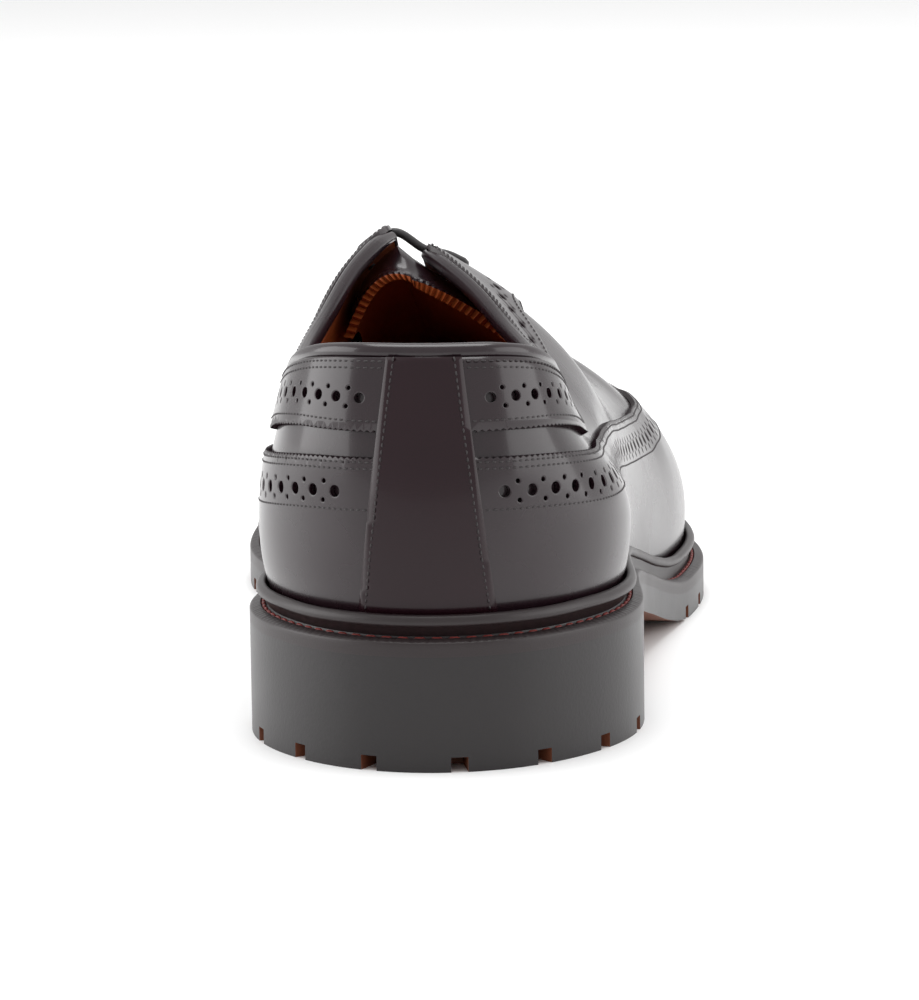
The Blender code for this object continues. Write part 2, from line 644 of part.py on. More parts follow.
def edge_notches(name, first, last, depth):
    """Square notches through the bottom edge, at even steps between two stations on both sides."""
    middle = len(EDGE) // 2
    run = np.concatenate([[0], np.cumsum(np.linalg.norm(np.diff(EDGE, axis=0), axis=1))])
    run -= run[middle]
    steps = range(int(run[0] // NOTCH_PITCH), int(run[-1] // NOTCH_PITCH) + 1)
    boxes = []
    for k in steps:
        here = NOTCH_START + k * NOTCH_PITCH
        if not run[0] < here < run[-1]:
            continue
        share = np.interp(here, run, EDGE_SHARE)
        point = edge_point(share)
        if not first < point[1] < last:
            continue
        inward = np.array([np.interp(share, EDGE_SHARE, INWARD[:, a]) for a in (0, 1)])
        centre = point + inward * (NOTCH_REACH - OVERSHOOT) / 2
        turn = math.atan2(inward[1], inward[0])
        top = float(rise(centre[1])) + depth
        boxes.append((centre, (NOTCH_REACH + OVERSHOOT) / 2, NOTCH_WIDTH / 2, turn, BELOW, top))
    return blocks(name, boxes)


def inner_lugs(name, first, last):
    """Blocks in staggered rows that stay standing inside the rim of lugs."""
    pitch = LUG_WIDTH + LUG_GROOVE
    boxes = []
    rows = int((last - first) // pitch)
    spare = (last - first - rows * pitch + LUG_GROOVE) / 2
    for row in range(rows):
        y = first + spare + LUG_WIDTH / 2 + row * pitch
        inner, outer = width_at(y, RIM_WIDTH + LUG_GROOVE)
        near = [width_at(y + side * LUG_WIDTH / 2, RIM_WIDTH + LUG_GROOVE) for side in (-1, 1)]
        left, right = max(n[0] for n in near), min(n[1] for n in near)
        count = int((right - left + LUG_GROOVE) // pitch)
        if count < 1:
            continue
        middle = 0.0 if first < HEEL_CENTRE < last else (inner + outer) / 2
        for k in range(count):
            x = middle + (k - (count - 1) / 2) * pitch
            boxes.append((np.array([x, y]), LUG_WIDTH / 2, LUG_WIDTH / 2, 0.0, 2 * BELOW, -BELOW))
    return blocks(name, boxes)


def tread(piece, name, start, stop):
    """Cut the lugs of one tread into the underside of a piece."""
    roof = lambda y: rise_under(piece, y) + LUG_DEPTH
    recess = slab(name + "_recess", RIM_WIDTH, start, stop, level(BELOW), roof, 16, cutter=True)
    cut(recess, inner_lugs(name + "_lugs", start, stop))
    cut(piece, recess)


def rise_under(piece, y):
    """Underside of the piece that carries a tread: the heel stands flat on the floor."""
    return rise(y) if piece.name == "outsole" else np.zeros_like(y)


clear_scene()
RUBBER = leather("dark rubber", (0.020, 0.017, 0.018), 0.45)
LEATHER = leather("polished aubergine leather", (0.022, 0.012, 0.016), 0.22)
LINING = leather("tan lining leather", (0.38, 0.13, 0.045), 0.55)
WELT_LEATHER = leather("dark welt leather", (0.045, 0.030, 0.030), 0.45)
CORD = leather("dark waxed cotton", (0.012, 0.010, 0.011), 0.6)

# Sole: outsole under the whole shoe, and the heel block below it
FORE_TREAD_FROM = 0.520
FORE_TREAD_TO = 0.965
outsole = slab("outsole", 0.0, 0.0, SHOE_LENGTH, rise, lambda y: rise(y) + OUTSOLE, 44, RUBBER)
cut(outsole, edge_notches("fore_notches", FORE_TREAD_FROM * SHOE_LENGTH, SHOE_LENGTH, LUG_DEPTH))
tread(outsole, "fore", FORE_TREAD_FROM * SHOE_LENGTH, FORE_TREAD_TO * SHOE_LENGTH)

HEEL_RIM = 0.010
heel = slab("heel", 0.0, 0.0, HEEL_LENGTH, level(0.0), lambda y: rise(y) - SEAT, 22, RUBBER)


def heel_notches():
    """The heel's notches reach only from the floor up."""
    cutter = edge_notches("heel_notches", -0.001, HEEL_LENGTH - NOTCH_WIDTH, 0.0)
    for vertex in cutter.data.vertices:
        if vertex.co.z > BELOW / 2:
            vertex.co.z = LUG_DEPTH
    return cutter


cut(heel, heel_notches())
tread(heel, "heel", HEEL_RIM, HEEL_LENGTH - HEEL_RIM)

# Upper: one hollow wall from the feather line to the topline, throat and vamp
# Rows between the welt's lip and the wing's edge, as shares, and the least step between any two edges
WALL_ROWS = (0.20, 0.42, 0.70)
SMALLEST_STEP = 0.004


def bead_amount(shares):
    """1 along the rolled topline, 0 along the throat and over the vamp."""
    along = along_at(shares)
    return 1 - smooth_between(along, SECTIONS[9].along, SECTIONS[10].along)


def share_grid(shares):
    """Rows of every section, shared by the upper and what is sewn on it: lip, wing, quarter, band and top."""
    lip = row_at_height(shares, welt_top(along_at(shares) * SHOE_LENGTH) + LIP_HEIGHT)
    wing = wing_row(shares)
    band = np.maximum(band_row(shares), wing + SMALLEST_STEP)
    rolled = bead_amount(shares) / length_at(shares)
    bead = np.maximum(1 - TOPLINE_BEAD * rolled, band)
    under_bead = np.maximum(1 - (TOPLINE_BEAD + 2 * SEAT) * rolled, band)
    steps = [0 * shares, lip] + [lip + (wing - lip) * part for part in WALL_ROWS] + [wing]
    steps += [(wing + band) / 2, band, (band + under_bead) / 2, under_bead, bead, 1 + 0 * shares]
    return np.stack(steps, axis=1)


V_LIP, V_WING, V_BAND, V_UNDER_BEAD, V_BEAD = 1, 5, 7, 9, 10
ROWS = share_grid(SHARES)


def build_upper():
    """The hollow wall with its rolled topline."""
    proud = np.zeros_like(ROWS)
    proud[:, V_BEAD] = BEAD_PROUD * bead_amount(SHARES)
    proud[:, V_BEAD + 1] = 0.4 * BEAD_PROUD * bead_amount(SHARES)
    outer = seated(skin(SHARES[:, None], ROWS, proud))
    inner = seated(skin(SHARES[:, None], ROWS, -WALL))
    inner[:, 0, 2] = outer[:, 0, 2]
    mesh_data = bmesh.new()
    shell(mesh_data, outer, inner, open_top=throat_opening(SHARES) > 0)
    return add_piece("upper", mesh_data, LEATHER)


build_upper()


# Backstay: a strip up the back of the heel, flared towards its foot
BACK_ROWS = share_grid(np.zeros(1))[0]


def backstay_half(v):
    """Half of the backstay's width at v, as a share round the shoe."""
    v = np.asarray(v, float)
    top, lip = BACK_ROWS[V_UNDER_BEAD], BACK_ROWS[V_LIP]
    half = (BACKSTAY_TOP + (BACKSTAY_FOOT - BACKSTAY_TOP) * smooth_between(top - v, 0, top - lip)) / 2
    step = 0.01
    pace = np.linalg.norm(skin(np.full_like(v, step), v) - skin(np.full_like(v, -step), v), axis=-1) / (2 * step)
    return half / pace


def build_backstay():
    """The backstay lies on the upper and covers the ends of the wing and of the collar bands."""
    rows = BACK_ROWS[:V_UNDER_BEAD + 1]
    across = np.linspace(-1, 1, 6)
    shares = across[:, None] * backstay_half(rows)[None, :]
    v = np.broadcast_to(rows, shares.shape)
    mesh_data = bmesh.new()
    shell(mesh_data, seated(skin(shares, v, SEAT + BACKSTAY)), seated(skin(shares, v, 1.5 * SEAT)), ends=True)
    return add_piece("backstay", mesh_data, LEATHER)


# Gap beside the backstay, and the least step from it to the next column, as shares round the shoe
BESIDE = 0.001
NEXT_COLUMN = 0.006


def beside_backstay(shares, rows):
    """Shares of a grid whose first columns follow the backstay's edge, a small gap away from it."""
    edge = backstay_half(rows) + BESIDE
    return np.where(shares[:, None] >= 0, np.maximum(shares[:, None], edge), np.minimum(shares[:, None], -edge))


def build_overlay(name, shares, first, last):
    """A piece sewn on the upper between two of its rows."""
    rows = share_grid(shares)[:, first:last + 1]
    around = beside_backstay(shares, rows)
    mesh_data = bmesh.new()
    shell(mesh_data, seated(skin(around, rows, SEAT + OVERLAY)), seated(skin(around, rows, SEAT)), ends=True)
    return add_piece(name, mesh_data, LEATHER)


def build_wing():
    """The wing: toe cap and both long wings in one piece, from one side of the backstay to the other."""
    edge = float(backstay_half(BACK_ROWS[V_WING]))
    outer = np.concatenate([[edge], SHARES[SHARES > edge + NEXT_COLUMN]])
    shares = np.concatenate([outer, -outer[::-1][1:]])
    rows = share_grid(shares)[:, :V_WING + 1]
    around = beside_backstay(shares, rows)
    mesh_data = bmesh.new()
    shell(mesh_data, seated(skin(around, rows, SEAT + OVERLAY)), seated(skin(around, rows, SEAT)), ends=True)
    return add_piece("wing", mesh_data, LEATHER)


def build_band(name, side):
    """Collar band and facing of one side, from the backstay to the foot of the throat."""
    edge = float(backstay_half(BACK_ROWS[V_UNDER_BEAD]))
    end = share_at(FACING_END, 1)
    inside = SHARES[(SHARES > edge + NEXT_COLUMN) & (SHARES < end - NEXT_COLUMN)]
    shares = np.sort(side * np.concatenate([[edge], inside, [end]]))
    return build_overlay(name, shares, V_BAND, V_UNDER_BEAD)


build_backstay()
build_wing()
build_band("collar_band_outer", 1)
build_band("collar_band_inner", -1)


# Welt: sewn all round on the outsole, with a lip that stands against the upper
# inset: share of the way from the edge to the upper's foot; over: height over the welt's edge
WeltRow = namedtuple("WeltRow", "inset over")
WELT_PROFILE = (
    WeltRow(0.000, -WELT_EDGE + SEAT),
    WeltRow(0.000, 0.0),
    WeltRow(0.340, 0.0009),
    WeltRow(0.420, 0.0008),
    WeltRow(0.560, 0.0022),
)
# The lip over that, against the wall: over, a height as above, and out, a share of LIP_THICKNESS
LipRow = namedtuple("LipRow", "over out")
WELT_LIP = (
    LipRow(LIP_HEIGHT - 0.0008, 1.0),
    LipRow(LIP_HEIGHT, 0.5),
    LipRow(LIP_HEIGHT - 0.0006, 0.0),
    LipRow(0.0012, 0.0),
)
# Shares round the shoe over which the lip comes back in from the thicker backstay to the wing
BACKSTAY_FADE = (0.07, 0.12)


def build_welt():
    """A ring of one profile: bottom, edge, wheeled shelf, groove and lip."""
    shares = np.linspace(-1, 1, 2 * COLUMNS + 1)
    foot = edge_point(shares)
    base = welt_top(foot[:, 1])
    thicker = (BACKSTAY - OVERLAY) * (1 - smooth_between(np.abs(shares), *BACKSTAY_FADE))
    stand_off = OVERLAY + thicker + 3 * SEAT
    points = []
    for row in WELT_PROFILE:
        plan = edge_point(shares, row.inset * (WELT_WIDTH - stand_off))
        points.append(np.column_stack([plan, base + row.over]))
    for row in WELT_LIP:
        points.append(skin(shares, row_at_height(shares, base + row.over), stand_off + row.out * LIP_THICKNESS))
    bottom = np.array(points[-1])
    bottom[:, :2] = edge_point(shares, WELT_WIDTH - stand_off)
    bottom[:, 2] = rise(bottom[:, 1]) + OUTSOLE + SEAT
    points.append(bottom)
    points[0][:, 2] = rise(points[0][:, 1]) + OUTSOLE + SEAT
    mesh_data = bmesh.new()
    add_quads(mesh_data, vertices(mesh_data, np.stack(points, axis=1)), wrap_columns=True)
    return add_piece("welt", mesh_data, WELT_LEATHER)


build_welt()

# Insole: inside the wall, on the outsole
INSOLE_INSET = WELT_WIDTH + WALL + 4 * SEAT


def insole_under(y):
    """Underside of the insole."""
    return rise(y) + OUTSOLE + SEAT


slab("insole", INSOLE_INSET, 0.0, SHOE_LENGTH, insole_under, lambda y: insole_under(y) + INSOLE, 24, LINING)


def share_of_top(y, side):
    """Share round the shoe of the section whose top lies at the station y."""
    half = EDGE_SHARE * side >= 0
    tops, shares = LANES["y"][half], EDGE_SHARE[half]
    order = np.argsort(tops, kind="stable")
    return np.interp(y, tops[order], shares[order])


FACING_TOP = SECTIONS[10].top_along * SHOE_LENGTH
THROAT_FOOT = SECTIONS[13].top_along * SHOE_LENGTH
TONGUE_PAST = 0.007
TONGUE_DOWN = (1.0, 0.72, 0.42, 0.16)
TONGUE_DROOP = 0.0024
DROOP_DOWN = 0.010
DROOP_SIDE = 0.20


def build_tongue():
    """The tongue follows the underside of the facings and droops where it runs free past their top."""
    stations = np.linspace(THROAT_FOOT + TONGUE_PAST, FACING_TOP, 9)
    under = WALL + 4 * SEAT
    down = np.array(TONGUE_DOWN) * TONGUE_WIDTH / 2
    surfaces = []
    for depth in (under, under + TONGUE):
        rows = []
        for y in stations:
            halves = []
            for side in (1, -1):
                share = share_of_top(y, side)
                v = 1 - down / length_at(share)
                halves.append(skin(np.full(len(down), share), v, -depth))
            rows.append(np.concatenate([halves[0], halves[1][::-1]]))
        rows = np.array(rows)
        ahead = rows[-1] - rows[-2]
        ahead /= np.linalg.norm(ahead, axis=1, keepdims=True)
        middle = rows[-1].mean(axis=0)
        inward = middle - rows[-1]
        inward[:, 2] = -np.abs(rows[-1, :, 0] - middle[0]) * DROOP_SIDE - DROOP_DOWN
        inward /= np.linalg.norm(inward, axis=1, keepdims=True)
        free = [rows[-1] + ahead * TONGUE_REACH * part + inward * TONGUE_DROOP * part ** 2 for part in (0.5, 1.0)]
        surfaces.append(np.concatenate([rows, free]))
    mesh_data = bmesh.new()
    shell(mesh_data, surfaces[0], surfaces[1], ends=True)
    return add_piece("tongue", mesh_data, LEATHER)


build_tongue()


def tube(name, path, radius, sides, material):
    """A round bar along a path that lies across the shoe."""
    ahead = np.gradient(path, axis=0)
    ahead /= np.linalg.norm(ahead, axis=1, keepdims=True)
    second = np.cross(ahead, np.array([0.0, 1.0, 0.0]))
    second /= np.linalg.norm(second, axis=1, keepdims=True)
    first = np.cross(second, ahead)
    turn = np.linspace(0, 2 * np.pi, sides, endpoint=False)
    ring = np.cos(turn)[None, :, None] * first[:, None] + np.sin(turn)[None, :, None] * second[:, None]
    mesh_data = bmesh.new()
    grid = vertices(mesh_data, path[:, None] + radius * ring)
    add_quads(mesh_data, grid, wrap_columns=True)
    mesh_data.faces.new(grid[0])
    mesh_data.faces.new(grid[-1])
    return add_piece(name, mesh_data, material)


# Points of half a lace bar, as shares of EYELET_INSET down from the edge of the throat
BAR_POINTS = (1.0, 0.6, 0.25, 0.0)


def lace_bar(row):
    """One straight bar of the lace over the throat, from eyelet to eyelet, resting on both facings."""
    y = FACING_TOP + FIRST_ROW + row * LACE_PITCH
    lift = OVERLAY + 3 * SEAT + LACE / 2
    away = EYELET_INSET * np.array(BAR_POINTS)
    halves = []
    for side in (1, -1):
        share = share_of_top(y, side)
        halves.append(skin(np.full(len(away), share), 1 - away / length_at(share), lift))
    return tube("lace_bar_%d" % (row + 1), np.concatenate([halves[0], halves[1][::-1]]), LACE / 2, 8, CORD)


for lace_row in range(LACE_ROWS):
    lace_bar(lace_row)

# Everything hangs on one empty, which puts the middle of the heel at the origin
shoe = bpy.data.objects.new("shoe_origin", None)
bpy.context.scene.collection.objects.link(shoe)
for piece in list(bpy.data.objects):
    if piece is not shoe:
        piece.parent = shoe
shoe.location = Vector((0, -HEEL_CENTRE, 0))
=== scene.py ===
# %% [markdown]
# # Longwing brogue
# One right shoe, dressed over its CAD model. The wall of the upper is worked out once, as a grid of
# points round the shoe and up each section; every leather piece, hole and stitch is then laid on that
# grid, so that it sits on the shoe from every side. Lengths are metres and y is measured from the back
# of the sole until a mesh is made, as in the part's source.

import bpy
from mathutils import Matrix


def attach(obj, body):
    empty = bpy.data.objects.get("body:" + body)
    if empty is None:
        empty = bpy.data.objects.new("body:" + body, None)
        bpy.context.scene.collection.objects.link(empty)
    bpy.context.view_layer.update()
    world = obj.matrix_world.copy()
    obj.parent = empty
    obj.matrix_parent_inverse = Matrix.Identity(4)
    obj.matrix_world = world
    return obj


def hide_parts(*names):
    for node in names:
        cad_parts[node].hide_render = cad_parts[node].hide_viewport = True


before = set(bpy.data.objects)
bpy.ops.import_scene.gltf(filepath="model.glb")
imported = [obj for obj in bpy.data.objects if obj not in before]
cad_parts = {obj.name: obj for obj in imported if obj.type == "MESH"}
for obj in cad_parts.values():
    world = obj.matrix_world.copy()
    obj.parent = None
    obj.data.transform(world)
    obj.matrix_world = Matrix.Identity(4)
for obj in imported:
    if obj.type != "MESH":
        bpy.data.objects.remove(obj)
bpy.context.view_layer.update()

# %% Tools
import math
from collections import namedtuple

import bmesh
import bpy
import numpy as np
from mathutils import Vector
from mathutils.bvhtree import BVHTree
from mathutils.geometry import delaunay_2d_cdt

# %% [markdown]
# The sizes are the ones that the part's source is driven by.

# %% Sizes
# Driving dimensions of the sole
SHOE_LENGTH = 0.306
BALL_WIDTH = 0.115
HEEL_WIDTH = 0.081
TOE_SWING = 0.020
HEEL_LENGTH = 0.082
HEEL_BLOCK = 0.0168
HEEL_CENTRE = 0.0405
OUTSOLE = 0.0062
TOE_SPRING = 0.010
LUG_DEPTH = 0.0030
NOTCH_WIDTH = 0.0034
NOTCH_REACH = 0.0085
NOTCH_PITCH = 0.0185
NOTCH_START = 0.0065
LUG_WIDTH = 0.0111
LUG_GROOVE = 0.0045
RIM_WIDTH = 0.0120

# Driving dimensions of the welt
WELT_WIDTH = 0.0085
WELT_EDGE = 0.0028
LIP_HEIGHT = 0.0062
LIP_THICKNESS = 0.0021

# Driving dimensions of the upper
BACK_HEIGHT = 0.0838
DIP_HEIGHT = 0.0752
INSTEP_HEIGHT = 0.0985
VAMP_HEIGHT = 0.0605
LATERAL_DROP = 0.0040
COLLAR_WIDTH = 0.0530
RIDGE_SHIFT = 0.0122
SIDE_BULGE = 0.0047
WALL = 0.0024
THROAT_GAP = 0.0068
TOPLINE_BEAD = 0.0028
BEAD_PROUD = 0.0012

# Driving dimensions of the pieces sewn on the upper
OVERLAY = 0.0012
BACKSTAY = 0.0018
BACKSTAY_TOP = 0.0142
BACKSTAY_FOOT = 0.0262
WING_HEIGHT = 0.0578
WING_PEAK = 0.0150
COLLAR_BAND = 0.0150
BAND_EXTRA = 0.0028
FACING_WIDTH = 0.0240

# Driving dimensions of the tongue, insole and lace rows
TONGUE_WIDTH = 0.0560
TONGUE = 0.0020
TONGUE_REACH = 0.0110
INSOLE = 0.0035
LACE_ROWS = 5
LACE_PITCH = 0.0152
FIRST_ROW = 0.0070
EYELET_INSET = 0.0095

# Clearance between pieces that touch on the real shoe
SEAT = 0.0003

# %% [markdown]
# The sole is drawn first: a pattern cutter starts from the outline and the side view of the last.

# %% Outline and side view of the sole
# Outline of the sole, one row for each station from the back to the tip.
# along: share of SHOE_LENGTH; heel and ball: shares of HEEL_WIDTH and BALL_WIDTH that add up to half
# the width; swing: how far the middle lies towards the inner side, as a share of TOE_SWING.
Station = namedtuple("Station", "along heel ball swing")
OUTLINE = (
    Station(0.000, 0.000, 0.000, 0.00),
    Station(0.016, 0.210, 0.000, 0.00),
    Station(0.052, 0.358, 0.000, 0.00),
    Station(0.100, 0.459, 0.000, 0.00),
    Station(0.150, 0.500, 0.000, 0.00),
    Station(0.220, 0.490, 0.000, 0.00),
    Station(0.300, 0.340, 0.090, -0.02),
    Station(0.380, 0.200, 0.184, -0.07),
    Station(0.460, 0.080, 0.290, -0.09),
    Station(0.540, 0.020, 0.382, 0.00),
    Station(0.610, 0.000, 0.443, 0.12),
    Station(0.670, 0.000, 0.476, 0.27),
    Station(0.730, 0.000, 0.486, 0.42),
    Station(0.790, 0.000, 0.468, 0.57),
    Station(0.850, 0.000, 0.430, 0.70),
    Station(0.910, 0.000, 0.360, 0.83),
    Station(0.960, 0.000, 0.262, 0.94),
    Station(0.990, 0.000, 0.138, 1.00),
    Station(1.000, 0.000, 0.000, 1.00),
)

# Underside of the outsole above the floor, one row for each station.
# heel: share of HEEL_BLOCK; spring: share of TOE_SPRING.
Rise = namedtuple("Rise", "along heel spring")
PITCH = (
    Rise(0.000, 1.00, 0.00),
    Rise(0.180, 1.00, 0.00),
    Rise(0.260, 0.96, 0.00),
    Rise(0.330, 0.84, 0.00),
    Rise(0.410, 0.55, 0.00),
    Rise(0.490, 0.20, 0.00),
    Rise(0.540, 0.04, 0.00),
    Rise(0.570, 0.00, 0.00),
    Rise(0.690, 0.00, 0.00),
    Rise(0.740, 0.00, 0.04),
    Rise(0.830, 0.00, 0.26),
    Rise(0.920, 0.00, 0.60),
    Rise(1.000, 0.00, 1.00),
)

# %% [markdown]
# The leather is lasted over a wooden form, so the upper is drawn as the form is: one section after
# another, standing on the outline. A grid through the sections is the surface that everything is sewn to.

# %% Sections of the upper
# Sections of the upper, one row for each, standing on the outline at the share along.
# bulge: share of SIDE_BULGE beyond the feather line; belly: height of the fullest point over the welt;
# top_along, ridge, across, height: where the section ends, as a share of SHOE_LENGTH, a share of
# RIDGE_SHIFT towards the inner side, a distance out from there, and a height; drop: share of
# LATERAL_DROP on the outer side; lean: slope at the top, 90 is upright; low and high: how square the
# section is at its side and at its top.
Section = namedtuple("Section", "along bulge belly top_along ridge across height drop lean low high")
POLE = 0.720
SECTION_ROWS = (
    (0.000, 0.95, 0.0200, 0.032, 0.00, 0.000 * COLLAR_WIDTH, 1.000 * BACK_HEIGHT, 0.00, 77, 0.34, 0.54),
    (0.016, 0.95, 0.0200, 0.037, 0.02, 0.205 * COLLAR_WIDTH, 1.000 * BACK_HEIGHT, 0.00, 77, 0.34, 0.54),
    (0.052, 0.98, 0.0190, 0.062, 0.08, 0.370 * COLLAR_WIDTH, 0.990 * BACK_HEIGHT, 0.10, 77, 0.34, 0.54),
    (0.100, 1.00, 0.0180, 0.104, 0.20, 0.470 * COLLAR_WIDTH, 0.955 * BACK_HEIGHT, 0.30, 76, 0.34, 0.54),
    (0.150, 1.00, 0.0170, 0.148, 0.30, 0.500 * COLLAR_WIDTH, 1.015 * DIP_HEIGHT, 0.50, 74, 0.34, 0.54),
    (0.200, 0.92, 0.0165, 0.190, 0.40, 0.490 * COLLAR_WIDTH, 1.000 * DIP_HEIGHT, 0.60, 71, 0.37, 0.52),
    (0.250, 0.84, 0.0160, 0.232, 0.54, 0.440 * COLLAR_WIDTH, 1.040 * DIP_HEIGHT, 0.70, 64, 0.41, 0.49),
    (0.295, 0.76, 0.0150, 0.272, 0.70, 0.345 * COLLAR_WIDTH, 0.850 * INSTEP_HEIGHT, 0.85, 54, 0.45, 0.46),
    (0.330, 0.70, 0.0140, 0.304, 0.85, 0.225 * COLLAR_WIDTH, 0.930 * INSTEP_HEIGHT, 0.95, 43, 0.46, 0.47),
    (0.352, 0.66, 0.0135, 0.324, 0.95, 0.120 * COLLAR_WIDTH, 0.975 * INSTEP_HEIGHT, 1.00, 35, 0.47, 0.48),
    (0.375, 0.62, 0.0130, 0.345, 1.00, 0.500 * THROAT_GAP, 0.995 * INSTEP_HEIGHT, 1.00, 30, 0.48, 0.49),
    (0.450, 0.56, 0.0125, 0.424, 1.02, 0.500 * THROAT_GAP, 0.895 * INSTEP_HEIGHT, 0.90, 26, 0.50, 0.50),
    (0.530, 0.54, 0.0120, 0.510, 1.02, 0.500 * THROAT_GAP, 0.812 * INSTEP_HEIGHT, 0.65, 22, 0.50, 0.50),
    (0.600, 0.56, 0.0120, 0.584, 1.00, 0.420 * THROAT_GAP, 1.200 * VAMP_HEIGHT, 0.30, 16, 0.50, 0.50),
    (0.622, 0.56, 0.0120, 0.606, 1.00, 0.000 * THROAT_GAP, 1.170 * VAMP_HEIGHT, 0.00, 6, 0.50, 0.50),
    (0.680, 0.56, 0.0120, 0.665, 0.98, 0.000 * THROAT_GAP, 1.075 * VAMP_HEIGHT, 0.00, 0, 0.52, 0.50),
    (0.735, 0.58, 0.0120, POLE, 0.96, 0.000 * THROAT_GAP, 1.000 * VAMP_HEIGHT, 0.00, 0, 0.52, 0.50),
    (0.800, 0.60, 0.0120, POLE, 0.96, 0.000 * THROAT_GAP, 1.000 * VAMP_HEIGHT, 0.00, 4, 0.52, 0.48),
    (0.860, 0.62, 0.0120, POLE, 0.96, 0.000 * THROAT_GAP, 1.000 * VAMP_HEIGHT, 0.00, 8, 0.51, 0.45),
    (0.920, 0.64, 0.0120, POLE, 0.96, 0.000 * THROAT_GAP, 1.000 * VAMP_HEIGHT, 0.00, 12, 0.50, 0.42),
    (0.970, 0.66, 0.0120, POLE, 0.96, 0.000 * THROAT_GAP, 1.000 * VAMP_HEIGHT, 0.00, 14, 0.50, 0.40),
    (1.000, 0.66, 0.0120, POLE, 0.96, 0.000 * THROAT_GAP, 1.000 * VAMP_HEIGHT, 0.00, 14, 0.50, 0.40),
)
SECTIONS = [Section(*row) for row in SECTION_ROWS]

# Steps of each half outline, rows of the wall grid, and points of the outline between two stations
FINE = 480
RINGS = 96
OUTLINE_STEPS = 48

# How many points of the fine outline each lane of the section table is eased over
EASE_OVER = 17


# %% Curves through the tables
def closed_spline(points, samples):
    """A smooth closed curve: neighbouring cubics share their slope and their bend at every point."""
    step = np.linalg.norm(np.roll(points, -1, axis=0) - points, axis=1)
    count = len(points)
    matrix = np.zeros((count, count))
    target = np.zeros_like(points)
    for i in range(count):
        behind, ahead = step[i - 1], step[i]
        matrix[i, i - 1] += behind
        matrix[i, i] += 2 * (behind + ahead)
        matrix[i, (i + 1) % count] += ahead
        leaving, arriving = points[(i + 1) % count] - points[i], points[i] - points[i - 1]
        target[i] = 6 * (leaving / ahead - arriving / behind)
    bend = np.linalg.solve(matrix, target)
    pieces = []
    for i in range(count):
        j, h = (i + 1) % count, step[i]
        t = np.linspace(0, 1, samples, endpoint=False)[:, None]
        line = points[i] * (1 - t) + points[j] * t
        pieces.append(line + h * h / 6 * (((1 - t) ** 3 - (1 - t)) * bend[i] + (t ** 3 - t) * bend[j]))
    return pieces


def monotone(x, y, at):
    """Cubic through the rows of a table that never overshoots them."""
    x, y = np.asarray(x, float), np.asarray(y, float)
    secant = np.diff(y) / np.diff(x)
    slope = np.zeros(len(x))
    same = secant[:-1] * secant[1:] > 0
    total = np.where(same, secant[:-1] + secant[1:], 1)
    slope[1:-1] = np.where(same, 2 * secant[:-1] * secant[1:] / total, 0)
    i = np.clip(np.searchsorted(x, at, side="right") - 1, 0, len(x) - 2)
    h = x[i + 1] - x[i]
    t = np.clip((at - x[i]) / h, 0, 1)
    first = (2 * t ** 3 - 3 * t ** 2 + 1) * y[i] + (t ** 3 - 2 * t ** 2 + t) * h * slope[i]
    return first + (3 * t ** 2 - 2 * t ** 3) * y[i + 1] + (t ** 3 - t ** 2) * h * slope[i + 1]


def walked(points):
    """Distance walked along a line of points, from its first point to each."""
    return np.concatenate([[0], np.cumsum(np.linalg.norm(np.diff(points, axis=0), axis=1))])


def half_outlines():
    """The sole's edge from the back to the tip, outer side and inner side, both at the same stations."""
    y = np.array([s.along * SHOE_LENGTH for s in OUTLINE])
    middle = np.array([-s.swing * TOE_SWING for s in OUTLINE])
    half = np.array([s.heel * HEEL_WIDTH + s.ball * BALL_WIDTH for s in OUTLINE])
    outer = np.column_stack([middle + half, y])
    inner = np.column_stack([middle - half, y])[-2:0:-1]
    loop = np.vstack(closed_spline(np.vstack([outer, inner]), OUTLINE_STEPS))
    back, tip = loop[:, 1].argmin(), loop[:, 1].argmax()
    around = [np.roll(loop, -back, axis=0)[: (tip - back) % len(loop) + 1]]
    around.append(np.roll(loop, -tip, axis=0)[: (back - tip) % len(loop) + 1][::-1])
    runs = [walked(line) for line in around]
    low, high = loop[back, 1], loop[tip, 1]
    y = low + (high - low) * (1 - np.cos(np.linspace(0, np.pi, 8 * FINE))) / 2
    run = sum(np.interp(y, line[:, 1], r) for line, r in zip(around, runs)) / 2
    even = np.interp(np.linspace(0, run[-1], FINE + 1), run, y)
    return [np.stack([np.interp(even, line[:, 1], line[:, 0]), even], axis=1) for line in around]


OUTER_EDGE, INNER_EDGE = half_outlines()
EDGE = np.vstack([INNER_EDGE[::-1], OUTER_EDGE[1:]])
EDGE_SHARE = np.linspace(-1, 1, len(EDGE))


def edge_inward():
    """Unit direction from each point of the edge into the sole."""
    ahead = np.roll(EDGE[:-1], -1, axis=0) - np.roll(EDGE[:-1], 1, axis=0)
    normal = np.stack([-ahead[:, 1], ahead[:, 0]], axis=1)
    normal /= np.linalg.norm(normal, axis=1, keepdims=True)
    return np.vstack([normal, normal[:1]])


INWARD = edge_inward()


def edge_point(share, inset=0.0):
    """Plan point at a share of the half outline, outer side positive, moved in by inset."""
    point, inward = (
        np.stack([np.interp(share, EDGE_SHARE, line[:, k]) for k in (0, 1)], axis=-1)
        for line in (EDGE, INWARD)
    )
    return point + inward * np.asarray(inset)[..., None]


def rise(y):
    """Height of the outsole's underside over the floor."""
    along = np.asarray(y) / SHOE_LENGTH
    heel = monotone([r.along for r in PITCH], [r.heel for r in PITCH], along)
    spring = monotone([r.along for r in PITCH], [r.spring for r in PITCH], along)
    return heel * HEEL_BLOCK + spring * TOE_SPRING


def welt_top(y):
    """Height of the welt's outer edge over the floor."""
    return rise(y) + OUTSOLE + WELT_EDGE


